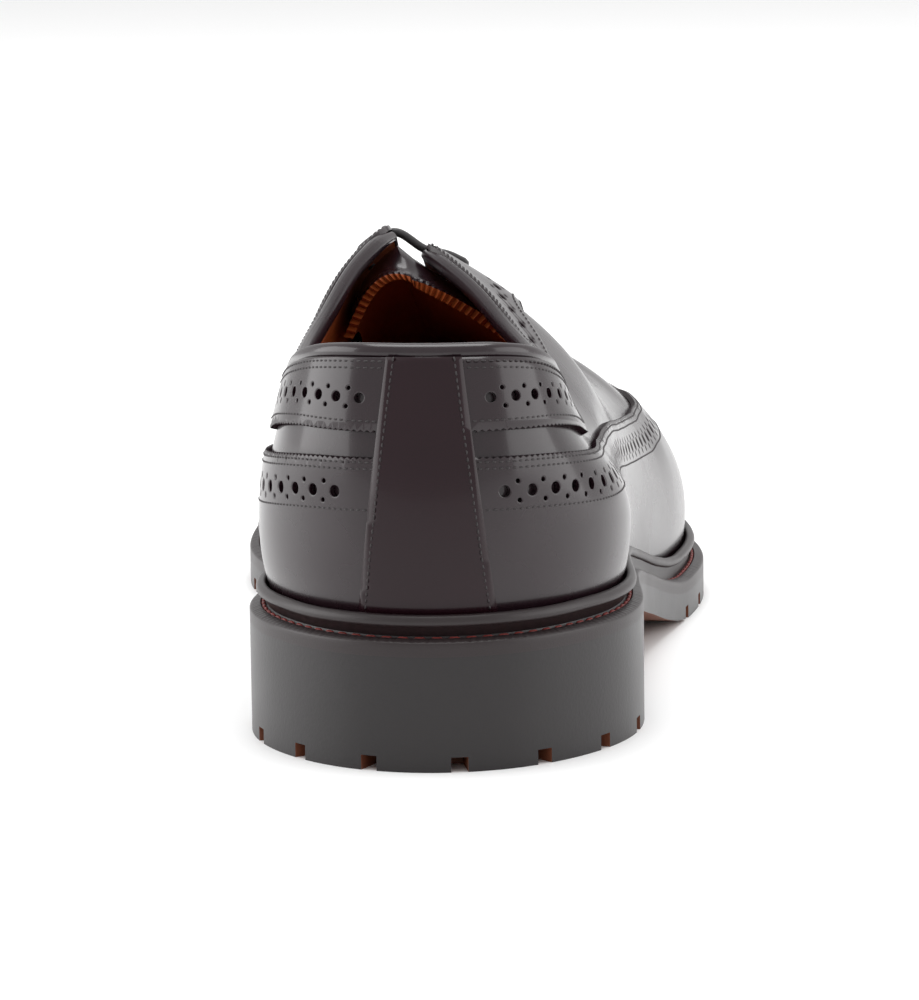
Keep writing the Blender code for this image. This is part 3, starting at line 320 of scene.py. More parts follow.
# %% The wall of the upper as a grid
def lanes():
    """Every column of the section table, carried round the shoe and eased between its rows."""
    steps = []
    for side, edge in ((-1, INNER_EDGE), (1, OUTER_EDGE)):
        share = np.interp([s.along * SHOE_LENGTH for s in SECTIONS], edge[:, 1], np.linspace(0, 1, len(edge)))
        at = np.linspace(0, 1, FINE + 1)
        columns = {
            "bulge": [s.bulge * SIDE_BULGE for s in SECTIONS],
            "belly": [s.belly for s in SECTIONS],
            "across": [side * s.across for s in SECTIONS],
            "ridge": [s.ridge * RIDGE_SHIFT for s in SECTIONS],
            "y": [s.top_along * SHOE_LENGTH for s in SECTIONS],
            "z": [s.height for s in SECTIONS],
            "drop": [s.drop * LATERAL_DROP * (side > 0) for s in SECTIONS],
            "lean": [math.radians(s.lean) for s in SECTIONS],
            "low": [s.low for s in SECTIONS],
            "high": [s.high for s in SECTIONS],
        }
        carried = {name: monotone(share, values, at) for name, values in columns.items()}
        mirrored = np.concatenate([[-share[1]], share]), [-columns["across"][1]] + columns["across"]
        carried["across"] = monotone(*mirrored, at)
        steps.append(carried)
    window = np.hanning(EASE_OVER + 2)[1:-1]
    window /= window.sum()
    reach = len(window) // 2
    joined = {}
    for name in steps[0]:
        loop = np.concatenate([steps[0][name][::-1], steps[1][name][1:-1]])
        wrapped = np.concatenate([loop[-reach:], loop, loop[:reach]])
        eased = np.convolve(wrapped, window, mode="valid")
        joined[name] = np.concatenate([eased, eased[:1]])
    joined["x"] = joined["across"] - joined["ridge"]
    joined["z"] = joined["z"] - joined["drop"]
    return joined


def cubic(a, b, c, d, t):
    """Points of a Bezier curve in space, one row for each section."""
    a, b, c, d = (p[:, None] for p in (a, b, c, d))
    t = t[:, None]
    return a * (1 - t) ** 3 + 3 * b * t * (1 - t) ** 2 + 3 * c * t ** 2 * (1 - t) + d * t ** 3


LANES = lanes()


def throat_opening(shares):
    """Distance between the top of each section and the one across the shoe."""
    top = [np.interp(side * np.abs(shares), EDGE_SHARE, LANES["x"]) for side in (-1, 1)]
    return np.where(top[1] - top[0] > 1e-5, top[1] - top[0], 0)


# How far the outline's own direction still counts where a section ends close above its foot
STRAIGHTEN = 0.015


def build_wall():
    """The upper's outer surface as a grid: columns round the shoe, rows from the feather line to the top.

    Each section swells from its foot to the belly, square to the outline, and bends over from there
    to its top.
    """
    lane = LANES
    out = np.column_stack([-INWARD, np.zeros(len(INWARD))])
    up = np.array([0.0, 0.0, 1.0])
    foot = np.column_stack([edge_point(EDGE_SHARE, WELT_WIDTH), np.zeros(len(out))])
    foot[:, 2] = rise(foot[:, 1]) + OUTSOLE + SEAT
    belly = foot + out * lane["bulge"][:, None]
    belly[:, 2] = welt_top(foot[:, 1]) + lane["belly"]
    top = np.stack([lane["x"], lane["y"], lane["z"]], axis=1)
    outward = (belly - top) * (1, 1, 0) + out * STRAIGHTEN
    outward /= np.linalg.norm(outward, axis=1, keepdims=True)
    reach = np.linalg.norm((belly - top)[:, :2], axis=1)
    low, high = (belly - foot)[:, 2], (top - belly)[:, 2]
    handle = lane["high"] * (reach * np.cos(lane["lean"]) + high * np.sin(lane["lean"]))
    back, down = handle * np.cos(lane["lean"]), handle * np.sin(lane["lean"])
    at_top = top + outward * back[:, None] - up * down[:, None]
    first = foot + out * (0.55 * lane["bulge"])[:, None] + up * (0.30 * low)[:, None]
    swell = cubic(foot, first, belly - up * (0.45 * low)[:, None], belly, np.linspace(0, 1, 25))
    bend = cubic(belly, belly + up * (lane["low"] * high)[:, None], at_top, top, np.linspace(0, 1, 49))
    line = np.concatenate([swell, bend[:, 1:]], axis=1)
    step = np.linalg.norm(np.diff(line, axis=1), axis=2)
    run = np.concatenate([np.zeros((len(line), 1)), np.cumsum(step, axis=1)], axis=1)
    even = np.linspace(0, 1, RINGS + 1)
    grid = np.empty((len(line), RINGS + 1, 3))
    for i in range(len(line)):
        for k in range(3):
            grid[i, :, k] = np.interp(even, run[i] / run[i, -1], line[i, :, k])
    return grid, run[:, -1]


def grid_normals(grid):
    """Outward unit normals of the wall; where the columns meet at the pole, the row below lends its own."""
    around = np.empty_like(grid)
    around[1:-1] = grid[2:] - grid[:-2]
    around[0] = around[-1] = grid[1] - grid[-2]
    normal = np.cross(around, np.gradient(grid, axis=1))
    size = np.linalg.norm(normal, axis=2, keepdims=True)
    normal = normal / np.maximum(size, 1e-12)
    weak = np.linalg.norm(around, axis=2) < 2e-5
    for k in range(1, grid.shape[1]):
        normal[weak[:, k], k] = normal[weak[:, k], k - 1]
    shut = throat_opening(EDGE_SHARE) == 0
    at_pole = np.linalg.norm(grid[:, -1] - grid[-1, -1], axis=1) < 2e-5
    crest = normal[:, -1] + normal[::-1, -1]
    crest[at_pole] = normal[at_pole, -1].mean(axis=0)
    crest /= np.linalg.norm(crest, axis=1, keepdims=True)
    normal[shut, -1] = crest[shut]
    return normal


WALL_GRID, WALL_LENGTH = build_wall()
WALL_NORMAL = grid_normals(WALL_GRID)


def skin(share, v, out=0.0):
    """Point of the upper's outer surface at share round the shoe and v up the section, moved out."""
    share, v, out = np.broadcast_arrays(share, v, out)
    column = np.clip((share + 1) / 2 * (len(WALL_GRID) - 1), 0, len(WALL_GRID) - 1 - 1e-9)
    row = np.clip(v * RINGS, 0, RINGS - 1e-9)
    i, j = column.astype(int), row.astype(int)
    a, b = (column - i)[..., None], (row - j)[..., None]

    def blend(values):
        low = values[i, j] * (1 - a) + values[i + 1, j] * a
        high = values[i, j + 1] * (1 - a) + values[i + 1, j + 1] * a
        return low * (1 - b) + high * b

    normal = blend(WALL_NORMAL)
    normal /= np.maximum(np.linalg.norm(normal, axis=-1, keepdims=True), 1e-9)
    return blend(WALL_GRID) + normal * out[..., None]


def seated(points):
    """The same points, none lower than the seat on top of the outsole."""
    points[..., 2] = np.maximum(points[..., 2], rise(points[..., 1]) + OUTSOLE + SEAT)
    return points


def length_at(share):
    """Length of the section at share, from the feather line to the top."""
    return np.interp(share, EDGE_SHARE, WALL_LENGTH)


def row_at_height(share, z):
    """How far up the section, as a share, the outer surface reaches the height z."""
    share, z = np.broadcast_arrays(np.asarray(share, float), np.asarray(z, float))
    heights = skin(share.ravel()[:, None], np.linspace(0, 1, RINGS + 1)[None, :])[..., 2]
    ticks = np.linspace(0, 1, RINGS + 1)
    found = [np.interp(wanted, column, ticks) for wanted, column in zip(z.ravel(), heights)]
    return np.array(found).reshape(share.shape)


def along_at(share):
    """Station of the outline at share, as a share of SHOE_LENGTH."""
    return edge_point(share)[..., 1] / SHOE_LENGTH


def share_at(along, side):
    """Share round the shoe, signed by side, of a station given as a share of SHOE_LENGTH."""
    edge = OUTER_EDGE if side > 0 else INNER_EDGE
    return side * np.interp(along * SHOE_LENGTH, edge[:, 1], np.linspace(0, 1, len(edge)))


def smooth_between(value, start, stop):
    """0 before start, 1 after stop, and an even S between them."""
    t = np.clip((value - start) / (stop - start), 0, 1)
    return t * t * (3 - 2 * t)


# %% Pattern lines of the wing and of the collar band
# Top edge of the wing, from the heel forward; over: height over the welt as a share of WING_HEIGHT
# less the height of the welt at the back.  Past the ball it follows the peak over the toe instead.
WingRow = namedtuple("WingRow", "along over")
WING_LINE = (
    WingRow(0.00, 1.12),
    WingRow(0.03, 1.11),
    WingRow(0.14, 1.01),
    WingRow(0.25, 0.96),
    WingRow(0.40, 1.07),
    WingRow(0.55, 1.22),
    WingRow(0.68, 1.22),
)
# Distance of the wing's edge from the pole of the toe, as a share of WING_PEAK, from the side to the tip
PeakRow = namedtuple("PeakRow", "share away")
WING_OVER_TOE = (
    PeakRow(0.60, 3.10),
    PeakRow(0.70, 2.75),
    PeakRow(0.78, 2.45),
    PeakRow(0.85, 2.30),
    PeakRow(0.91, 2.05),
    PeakRow(0.96, 1.45),
    PeakRow(1.00, 1.00),
)
# Share round the shoe where the height over the welt hands over to the distance from the pole
PEAK_FROM, PEAK_TO = 0.60, 0.72


def wing_row(share):
    """How far up each section the top edge of the wing runs."""
    along = along_at(share)
    heel_over = WING_HEIGHT - welt_top(0.0)
    over = monotone([r.along for r in WING_LINE], [r.over for r in WING_LINE], along) * heel_over
    side = row_at_height(share, welt_top(along * SHOE_LENGTH) + over)
    away = monotone([r.share for r in WING_OVER_TOE], [r.away for r in WING_OVER_TOE], np.abs(share))
    away = away * WING_PEAK
    toe = 1 - away / length_at(share)
    blend = smooth_between(np.abs(share), PEAK_FROM, PEAK_TO)
    return side * (1 - blend) + toe * blend


# Stations as shares of SHOE_LENGTH: where the collar band is at its narrowest, with BAND_EXTRA more
# at the back, where it starts to widen into the facing, the facing's top corner, the end of the open
# throat, the facing's own end, and the length over which it rounds off
NARROW_FROM = 0.150
WIDEN_FROM = 0.232
FACING_CORNER = SECTIONS[10].along
THROAT_END = SECTIONS[14].along
FACING_END = THROAT_END + 0.020
FACING_ROUND = 0.100


def band_row(share):
    """How far up each section the lower edge of the collar band and facing runs."""
    along = along_at(share)
    width = COLLAR_BAND + BAND_EXTRA * (1 - smooth_between(along, 0.0, NARROW_FROM))
    width += (FACING_WIDTH - COLLAR_BAND) * smooth_between(along, WIDEN_FROM, FACING_CORNER)
    close = np.clip((FACING_END - along) / FACING_ROUND, 0, 1)
    return 1 - width * np.sqrt(1 - (1 - close) ** 2) / length_at(share)


# %% [markdown]
# ## Finding a place on the wall
# A shoemaker marks a line at a steady distance from an edge and pricks the holes along it. The same
# is done here: a line is walked in real millimetres, a step to its side is taken in the surface, and
# the nearest point of the wall gives back where that is on the pattern.

# %% Nearest place on the wall
COARSE = 2
NET = WALL_GRID[::COARSE, ::COARSE]


def net_tree():
    """A search tree over the quads of every second column and row of the wall."""
    columns, rows = NET.shape[:2]
    i, j = np.meshgrid(np.arange(columns - 1), np.arange(rows - 1), indexing="ij")
    corner = (i * rows + j).ravel()
    quads = np.stack([corner, corner + rows, corner + rows + 1, corner + 1], axis=1)
    return BVHTree.FromPolygons(NET.reshape(-1, 3).tolist(), quads.tolist())


TREE = net_tree()


def place_on_wall(points):
    """Share round the shoe and share up the section of the wall's nearest points, one row for each point."""
    rows = NET.shape[1]
    found = [TREE.find_nearest(p) for p in points.tolist()]
    spot = np.array([f[0] for f in found])
    i, j = np.divmod(np.array([f[2] for f in found]), rows - 1)
    corner = NET[i, j]
    across, up = NET[i + 1, j] - corner, NET[i, j + 1] - corner
    offset = spot - corner
    aa, ab, bb = (across * across).sum(1), (across * up).sum(1), (up * up).sum(1)
    oa, ob = (offset * across).sum(1), (offset * up).sum(1)
    area = np.maximum(aa * bb - ab * ab, 1e-18)
    a, b = (oa * bb - ob * ab) / area, (ob * aa - oa * ab) / area
    share = (i + np.clip(a, 0, 1)) * COARSE / (len(WALL_GRID) - 1) * 2 - 1
    return np.stack([share, (j + np.clip(b, 0, 1)) * COARSE / RINGS], axis=1)


def unit(vectors):
    """The vectors at length one."""
    return vectors / np.maximum(np.linalg.norm(vectors, axis=-1, keepdims=True), 1e-12)


def out_of(share, v):
    """Outward unit normal of the wall at share round the shoe and v up the section."""
    return unit(skin(share, v, 1.0) - skin(share, v))


def unwrap(places, wraps):
    """Places whose share runs on past the toe instead of starting again at the other side."""
    places = np.array(places)
    if wraps:
        places[:, 0] = np.where(places[:, 0] < 0, places[:, 0] + 2, places[:, 0])
    return places


# Half of the stretch that gives a line its direction, spare points tried for each one kept, and how near
# an inset place may come to the line, as a share of the inset
HALF_STRETCH = 0.0006
TRIED = 4
NEAR_ENOUGH = 0.96


class Line:
    """A line on the wall, walked in metres.

    inner_side is 1 with the inner side to the left of the walk and -1 to the right; a line that wraps
    runs over the toe, from positive shares to negative ones.
    """

    def __init__(self, places, inner_side, wraps=False):
        self.points = skin(places[:, 0], places[:, 1])
        self.run = walked(self.points)
        self.length = self.run[-1]
        self.inner_side, self.wraps = inner_side, wraps

    def at(self, s, inward=0.0):
        """Places on the wall at the walked distances s, moved inward in the surface."""
        point, ahead, behind = (
            np.stack([np.interp(q, self.run, self.points[:, k]) for k in range(3)], axis=1)
            for q in (s, np.minimum(s + HALF_STRETCH, self.length), np.maximum(s - HALF_STRETCH, 0))
        )
        side = np.cross(out_of(*place_on_wall(point).T), unit(ahead - behind)) * self.inner_side
        return place_on_wall(point + side * np.broadcast_to(inward, s.shape)[:, None])

    def inset(self, inward, pitch, start=0.0, stop=None):
        """Places in even steps along a line at a steady distance inside this one.

        Where the line turns a sharp corner, the places that come too near to it are left out.
        """
        stop = self.length if stop is None else stop
        s = np.linspace(start, stop, max(2, int(round((stop - start) / (pitch / TRIED)))))
        places = self.at(s, inward)
        points = skin(places[:, 0], places[:, 1])
        near = np.array([np.min(np.linalg.norm(self.points - p, axis=1)) for p in points])
        places = places[near > NEAR_ENOUGH * inward]
        run = walked(skin(places[:, 0], places[:, 1]))
        even = np.arange(pitch / 2, run[-1], pitch)
        share = np.interp(even, run, unwrap(places, self.wraps)[:, 0])
        share = np.where(share > 1, share - 2, share) if self.wraps else share
        return np.stack([share, np.interp(even, run, places[:, 1])], axis=1)


# %% Meshes
def add_mesh(name, points, faces, material, normals=None, smooth=True, replaces=()):
    """One object from points in the part's own stations, riding on the frame."""
    mesh = bpy.data.meshes.new(name)
    world = np.asarray(points, float) - (0, HEEL_CENTRE, 0)
    mesh.from_pydata(world.tolist(), [], [list(f) for f in faces])
    for one in material if isinstance(material, (list, tuple)) else [material]:
        mesh.materials.append(one)
    mesh.polygons.foreach_set("use_smooth", np.full(len(mesh.polygons), smooth))
    piece = bpy.data.objects.new(name, mesh)
    bpy.context.scene.collection.objects.link(piece)
    if normals is not None:
        mesh.normals_split_custom_set_from_vertices(normals.tolist())
    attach(piece, "root")
    for node in replaces:
        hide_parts(node)
    print(name, len(mesh.polygons), "faces")
    return piece


def grid_faces(columns, rows, wrap_columns=False, wrap_rows=False, first=0):
    """Quads between neighbouring points of a grid that is stored column by column."""
    last_column, last_row = columns - (not wrap_columns), rows - (not wrap_rows)
    i, j = (k.ravel() for k in np.meshgrid(np.arange(last_column), np.arange(last_row), indexing="ij"))
    ahead, above = (i + 1) % columns, (j + 1) % rows
    return first + np.stack([i * rows + j, ahead * rows + j, ahead * rows + above, i * rows + above], axis=1)


# %% [markdown]
# ## Materials
# Each starts from the real thing: waxed and polished leather over a red-brown dye, vegetable-tanned
# tan lining, edge-dressed rubber, linen thread. Colours are given as seen on a screen and turned into
# light; grain and pores are sized in millimetres.

# %% Material tools
MM = 0.001
# Patches of drifting colour to a metre, and how far the colour drifts each way
DRIFT_SCALE = 60.0
DRIFT = 0.18


def linear(hex_colour):
    """Screen colour to linear light, with full alpha."""
    channels = np.array([int(hex_colour[k:k + 2], 16) for k in (1, 3, 5)]) / 255
    light = np.where(channels <= 0.04045, channels / 12.92, ((channels + 0.055) / 1.055) ** 2.4)
    return (*light.tolist(), 1.0)


def node(material, kind, settings=(), links=(), **inputs):
    """One shader node: settings are its own properties, inputs its values, links its input wires."""
    new = material.node_tree.nodes.new(kind)
    for name, value in dict(settings).items():
        setattr(new, name, value)
    for name, value in inputs.items():
        new.inputs[name.replace("_", " ")].default_value = value
    for name, source in dict(links).items():
        material.node_tree.links.new(source, new.inputs[name])
    return new


def surface(
    name, colour, roughness, pore=0.3, depth=0.02, coat=0.0, coat_rough=0.1, vary=0.06, sheen=0.0, spec=0.5
):
    """A Principled material: its grain is a fine noise, its shine and colour drift over centimetres.

    pore and depth are the grain's size and height in millimetres.
    """
    material = bpy.data.materials.new(name)
    material.use_nodes = True
    shader = material.node_tree.nodes["Principled BSDF"]
    shader.inputs["Coat Weight"].default_value = coat
    shader.inputs["Coat Roughness"].default_value = coat_rough
    shader.inputs["Sheen Weight"].default_value = sheen
    shader.inputs["Specular IOR Level"].default_value = spec
    place = node(material, "ShaderNodeTexCoord").outputs["Object"]
    wires = material.node_tree.links
    drift = node(material, "ShaderNodeTexNoise", links={"Vector": place}, Scale=DRIFT_SCALE, Detail=3.0)
    tone = node(material, "ShaderNodeMix", {"data_type": "RGBA"}, {"Factor": drift.outputs["Fac"]})
    tone.inputs["A"].default_value = tuple(c * (1 - DRIFT) for c in linear(colour)[:3]) + (1,)
    tone.inputs["B"].default_value = tuple(min(1, c * (1 + DRIFT)) for c in linear(colour)[:3]) + (1,)
    wires.new(tone.outputs["Result"], shader.inputs["Base Color"])
    shine = node(material, "ShaderNodeMapRange", links={"Value": drift.outputs["Fac"]})
    shine.inputs["To Min"].default_value = max(0.02, roughness - vary)
    shine.inputs["To Max"].default_value = roughness + vary
    wires.new(shine.outputs["Result"], shader.inputs["Roughness"])
    pores = node(material, "ShaderNodeTexNoise", links={"Vector": place}, Detail=2.0, Roughness=0.6)
    pores.inputs["Scale"].default_value = 1 / (pore * MM)
    bump = node(material, "ShaderNodeBump", links={"Height": pores.outputs["Fac"]}, Strength=1.0)
    bump.inputs["Distance"].default_value = depth * MM
    wires.new(bump.outputs["Normal"], shader.inputs["Normal"])
    return material


# %% Materials of the shoe
POLISHED = surface(
    "polished aubergine leather", "#1d1015", 0.27,
    pore=0.45, depth=0.012, coat=0.3, coat_rough=0.10, spec=0.34,
)
# Painted dark reflection: the backstay is the same leather as the quarters, its colour darkened and its shine
# lowered to stand in for the dark reflection along the back.
BACKSTAY_PAINTED_REFLECTION = surface(
    "aubergine leather with painted dark reflection", "#1c0a10", 0.24,
    pore=0.45, depth=0.012, coat=0.15, coat_rough=0.08, spec=0.2,
)
LINING = surface("tan lining leather", "#8c4218", 0.52, pore=0.5, depth=0.03, vary=0.1)
WELT_TOP = surface(
    "waxed welt leather", "#231b1c", 0.40,
    pore=0.4, depth=0.03, coat=0.08, coat_rough=0.3, spec=0.34,
)
EDGE_DRESSED = surface(
    "edge-dressed rubber", "#1d191a", 0.36,
    pore=0.8, depth=0.03, coat=0.1, coat_rough=0.25, spec=0.34,
)
TREAD_RUBBER = surface("brown tread rubber", "#6b3b25", 0.6, pore=0.6, depth=0.05)
THREAD = surface("dark waxed thread", "#1c1316", 0.45, pore=0.15, depth=0.05)
WELT_THREAD = surface("rust-red waxed thread", "#7c2c28", 0.5, pore=0.15, depth=0.06)
LACE_COTTON = surface("waxed cotton lace", "#1a1618", 0.55, pore=0.4, depth=0.08, sheen=0.2)

# %% [markdown]
# ## Upper and lining
# The quarters and the vamp are drawn smooth; their topline is folded over a cord, which makes the
# rolled edge that catches the light. The lining hangs inside from that edge down to the insole.

# %% Upper
# UNDER_ROLL is where the wall gives way to the roll, in radii of the roll below the top
UPPER_COLUMNS = 720
UPPER_ROWS = 90
UNDER_ROLL = 1.6
ROLL_STEPS = 12
ROLL_FROM = -70
LINING_ROWS = 50
LINING_FOOT = 0.03


def topline_roll(shares):
    """Radius of the rolled top edge, and how far it stands proud of the wall."""
    along = along_at(shares)
    proud = BEAD_PROUD * (1 - smooth_between(along, SECTIONS[9].along, SECTIONS[10].along))
    is_open = np.where(along < SECTIONS[8].along, 1.0, np.clip(throat_opening(shares) / (2 * WALL), 0, 1))
    return (WALL + proud) / 2 * is_open, proud


def build_upper():
    """The outer leather from the feather line up, over the roll and to the lining's edge."""
    shares = np.linspace(-1, 1, UPPER_COLUMNS + 1)
    radius, proud = topline_roll(shares)
    length = length_at(shares)
    centre_v = 1 - radius / length
    side_v = np.linspace(0, 1, UPPER_ROWS)[None, :] * (1 - UNDER_ROLL * radius / length)[:, None]
    side = seated(skin(shares[:, None], side_v))
    side_normal = out_of(shares[:, None], side_v)
    centre = skin(shares, centre_v, proud - radius)
    normal = out_of(shares, centre_v)
    upward = unit(skin(shares, np.minimum(centre_v + 0.01, 1)) - skin(shares, centre_v - 0.02))
    turn = np.radians(np.linspace(ROLL_FROM, 180, ROLL_STEPS))[None, :, None]
    around = np.cos(turn) * normal[:, None] + np.sin(turn) * upward[:, None]
    roll = centre[:, None] + around * radius[:, None, None]
    shut = radius < 1e-6
    roll_normal = np.where(shut[:, None, None], side_normal[:, -1:], around)
    points = np.concatenate([side, roll], axis=1)
    normals = np.concatenate([side_normal, roll_normal], axis=1)
    faces = grid_faces(*points.shape[:2])
    add_mesh(
        "upper_leather", points.reshape(-1, 3), faces, POLISHED, normals.reshape(-1, 3), replaces=["upper"],
    )


def build_lining():
    """The tan lining, from the rolled edge down to below the insole."""
    shares = np.linspace(-1, 1, UPPER_COLUMNS // 2 + 1)
    radius = topline_roll(shares)[0]
    top = 1 - radius / length_at(shares)
    v = LINING_FOOT + (top - LINING_FOOT)[:, None] * np.linspace(0, 1, LINING_ROWS)[None, :]
    points = skin(shares[:, None], v, -WALL).reshape(-1, 3)
    normals = -out_of(shares[:, None], v).reshape(-1, 3)
    faces = grid_faces(len(shares), LINING_ROWS)[:, ::-1]
    add_mesh("lining", points, faces, LINING, normals)


build_upper()
build_lining()

# %% [markdown]
# ## Punched and pinked leather
# Wing, collar bands and backstay are cut from flat leather: the edge goes through a pinking machine,
# the holes through a punch, in a row of large ones with a pair of small ones between. The outline and the
# holes are cut here in the same way, as loops in the flat pattern, and the leather between them is
# filled with triangles that are then laid on the wall.

# %% Cutting a pattern piece
# CHART turns share and v into near metres; FILL is the step of the points inside a piece. At a cut the
# leather drops by RIM_DROP, within RIM_WIDE of a hole, and its normal leans out by RIM_LEAN. FILL points
# keep CLEAR_OF_RIM, and second rims FREE_OF_RIM, from every cut.
CHART = np.array([0.345, 0.090])
FILL = 0.0022
RIM_DROP = 0.00020
RIM_WIDE = 0.00035
RIM_LEAN = 0.75
CLEAR_OF_RIM = 0.0008
FREE_OF_RIM = 0.7 * RIM_WIDE
SAME_POINT = 1e-7
LARGE_SIDES, SMALL_SIDES, EYELET_SIDES = 18, 10, 16


def inside(points, loop):
    """True for the points of the plane that lie inside a closed loop: an odd number of crossings."""
    a, b = loop, np.roll(loop, -1, axis=0)
    x, y = points[:, :1], points[:, 1:]
    crosses = (a[:, 1] > y) != (b[:, 1] > y)
    rise_of = np.where(a[:, 1] == b[:, 1], 1.0, b[:, 1] - a[:, 1])
    at = a[:, 0] + (y - a[:, 1]) * (b[:, 0] - a[:, 0]) / rise_of
    return (crosses & (x < at)).sum(axis=1) % 2 == 1


def in_a_hole(points, loops):
    """True for the points that lie inside one of the loops after the first."""
    found = np.zeros(len(points), bool)
    for hole in loops[1:]:
        box = (np.abs(points - hole.mean(axis=0)) < np.ptp(hole, axis=0)).all(axis=1)
        box[box] = inside(points[box], hole)
        found |= box
    return found


def nearest(points, others, batch=500):
    """Distance from each point to the nearest of the others."""
    found = []
    for part in np.array_split(points, 1 + len(points) // batch):
        found.append(np.linalg.norm(part[:, None] - others[None], axis=2).min(axis=1))
    return np.concatenate(found)


def second_rims(loops, rims):
    """Points a little way in from every edge, where the rolled rim ends and the flat begins."""
    outline = loops[0]
    ahead = unit(np.roll(outline, -3, axis=0) - np.roll(outline, 3, axis=0))
    side = np.stack([-ahead[:, 1], ahead[:, 0]], axis=1)
    if not inside(outline[:1] + side[:1] * RIM_WIDE, outline)[0]:
        side = -side
    lines = [(outline + side * 2 * RIM_WIDE)[::2]]
    for hole in loops[1:]:
        centre = hole.mean(axis=0)
        spoke = hole - centre
        lines.append(centre + spoke * (1 + RIM_WIDE / np.linalg.norm(spoke, axis=1).mean()))
    points = np.vstack(lines)
    points = points[inside(points, outline)]
    return points[(nearest(points, rims) > FREE_OF_RIM) & ~in_a_hole(points, loops)]


def circle(place, radius, sides):
    """Places of a round hole about one place, round on the leather and not in the pattern."""
    centre = skin(place[:1], place[1:])
    normal = out_of(place[:1], place[1:])
    level = unit(np.cross(normal, np.array([[0.0, 0.0, 1.0]]) + 1e-3))
    turn = np.linspace(0, 2 * np.pi, sides, endpoint=False)[:, None]
    return place_on_wall(centre + radius * (np.cos(turn) * level + np.sin(turn) * np.cross(normal, level)))


def filled(loops):
    """Points and triangles of the leather inside the first loop and outside the others, all facing one way."""
    low, high = loops[0].min(axis=0), loops[0].max(axis=0)
    xs, ys = (np.arange(a + FILL / 2, b, FILL) for a, b in zip(low, high))
    fill = np.stack(np.meshgrid(xs, ys, indexing="ij"), axis=-1).reshape(-1, 2)
    rims = np.vstack(loops)
    fill = fill[inside(fill, loops[0]) & (nearest(fill, rims) > CLEAR_OF_RIM)]
    for hole in loops[1:]:
        centre = hole.mean(axis=0)
        reach = np.linalg.norm(hole - centre, axis=1).max()
        fill = fill[np.linalg.norm(fill - centre, axis=1) > reach + CLEAR_OF_RIM]
    flat = np.vstack([rims, second_rims(loops, rims), fill])
    edges, start = [], 0
    for loop in loops:
        count = len(loop)
        edges += [(start + k, start + (k + 1) % count) for k in range(count)]
        start += count
    made = delaunay_2d_cdt([Vector(p) for p in flat.tolist()], edges, [], 0, SAME_POINT, True)
    flat = np.array([(v.x, v.y) for v in made[0]])
    triangles = np.array(made[2])
    middles = flat[triangles].mean(axis=1)
    triangles = triangles[inside(middles, loops[0]) & ~in_a_hole(middles, loops)]
    a, b, c = (flat[triangles[:, k]] for k in range(3))
    turn = np.cross(b - a, c - a)
    triangles[turn < 0] = triangles[turn < 0][:, ::-1]
    return flat, triangles


def cut_sides(triangles):
    """The sides that only one triangle has, in that triangle's direction."""
    directed = np.concatenate([triangles[:, [0, 1]], triangles[:, [1, 2]], triangles[:, [2, 0]]])
    _, first, uses = np.unique(np.sort(directed, axis=1), axis=0, return_index=True, return_counts=True)
    return directed[first[uses == 1]]


def cut_piece(name, outline, holes, thickness, wraps, replaces, leather=POLISHED):
    """A leather piece on the wall: its face, whose rims roll in a little, and the sides of its cuts."""
    flat, triangles = filled([unwrap(loop, wraps) * CHART for loop in [outline] + holes])
    border = cut_sides(triangles)
    on_rim = np.zeros(len(flat), bool)
    on_rim[border.ravel()] = True
    share, v = (flat / CHART).T
    share = np.where(share > 1, share - 2, share)
    top = seated(skin(share, v, SEAT + thickness - RIM_DROP * on_rim))
    foot = skin(share, v, SEAT / 2)
    normal = out_of(share, v)
    a, b = border[:, 0], border[:, 1]
    cut_points = np.stack([top[a], top[b], foot[b], foot[a]], axis=1).reshape(-1, 3)
    outward = unit(np.cross(top[b] - top[a], normal[a]))
    lean = np.zeros_like(normal)
    np.add.at(lean, a, outward)
    np.add.at(lean, b, outward)
    face_normal = unit(normal + RIM_LEAN * unit(lean) * on_rim[:, None])
    quads = len(top) + np.arange(len(cut_points)).reshape(-1, 4)[:, ::-1]
    add_mesh(
        name, np.vstack([top, cut_points]), triangles.tolist() + quads.tolist(), leather,
        np.vstack([face_normal, np.repeat(outward, 4, axis=0)]), replaces=replaces,
    )


def pinked(line, pitch, depth):
    """Places along a line with teeth: every second one steps inward."""
    count = int(line.length / (pitch / 2)) // 2 * 2
    s = np.linspace(0, line.length, count + 1)
    return line.at(s, np.where(np.arange(count + 1) % 2, depth, 0.0))


# A step in share that is larger than this one goes over the toe
OVER_THE_TOE = 0.2


def broguing(line, punch, start, stop):
    """A row of large holes with a pair of small ones between each two."""
    big = line.inset(punch.inward, punch.pitch, start, stop)
    between = np.stack([(big[1:, 0] + big[:-1, 0]) / 2, (big[1:, 1] + big[:-1, 1]) / 2], axis=1)
    between = between[np.abs(np.diff(big[:, 0])) < OVER_THE_TOE]
    step = punch.spread / length_at(between[:, 0])
    holes = [circle(p, punch.large / 2, LARGE_SIDES) for p in big]
    for sign in (-1, 1):
        beside = between + np.stack([0 * step, sign * step], axis=1)
        holes += [circle(p, punch.small / 2, SMALL_SIDES) for p in beside]
    return holes


# %% Stitches
STITCH = 0.0014
STITCH_LENGTH = 0.00105
STITCH_RADIUS = 0.00022
STITCH_SIDES = 5
# Rings of a stitch: place along it and size, and how far its ends dip into the leather
RING_AT = np.array([-1.0, -0.86, -0.45, 0.45, 0.86, 1.0])
RING_SIZE = np.array([0.15, 0.75, 1.0, 1.0, 0.75, 0.15])
STITCH_DIP = 0.9


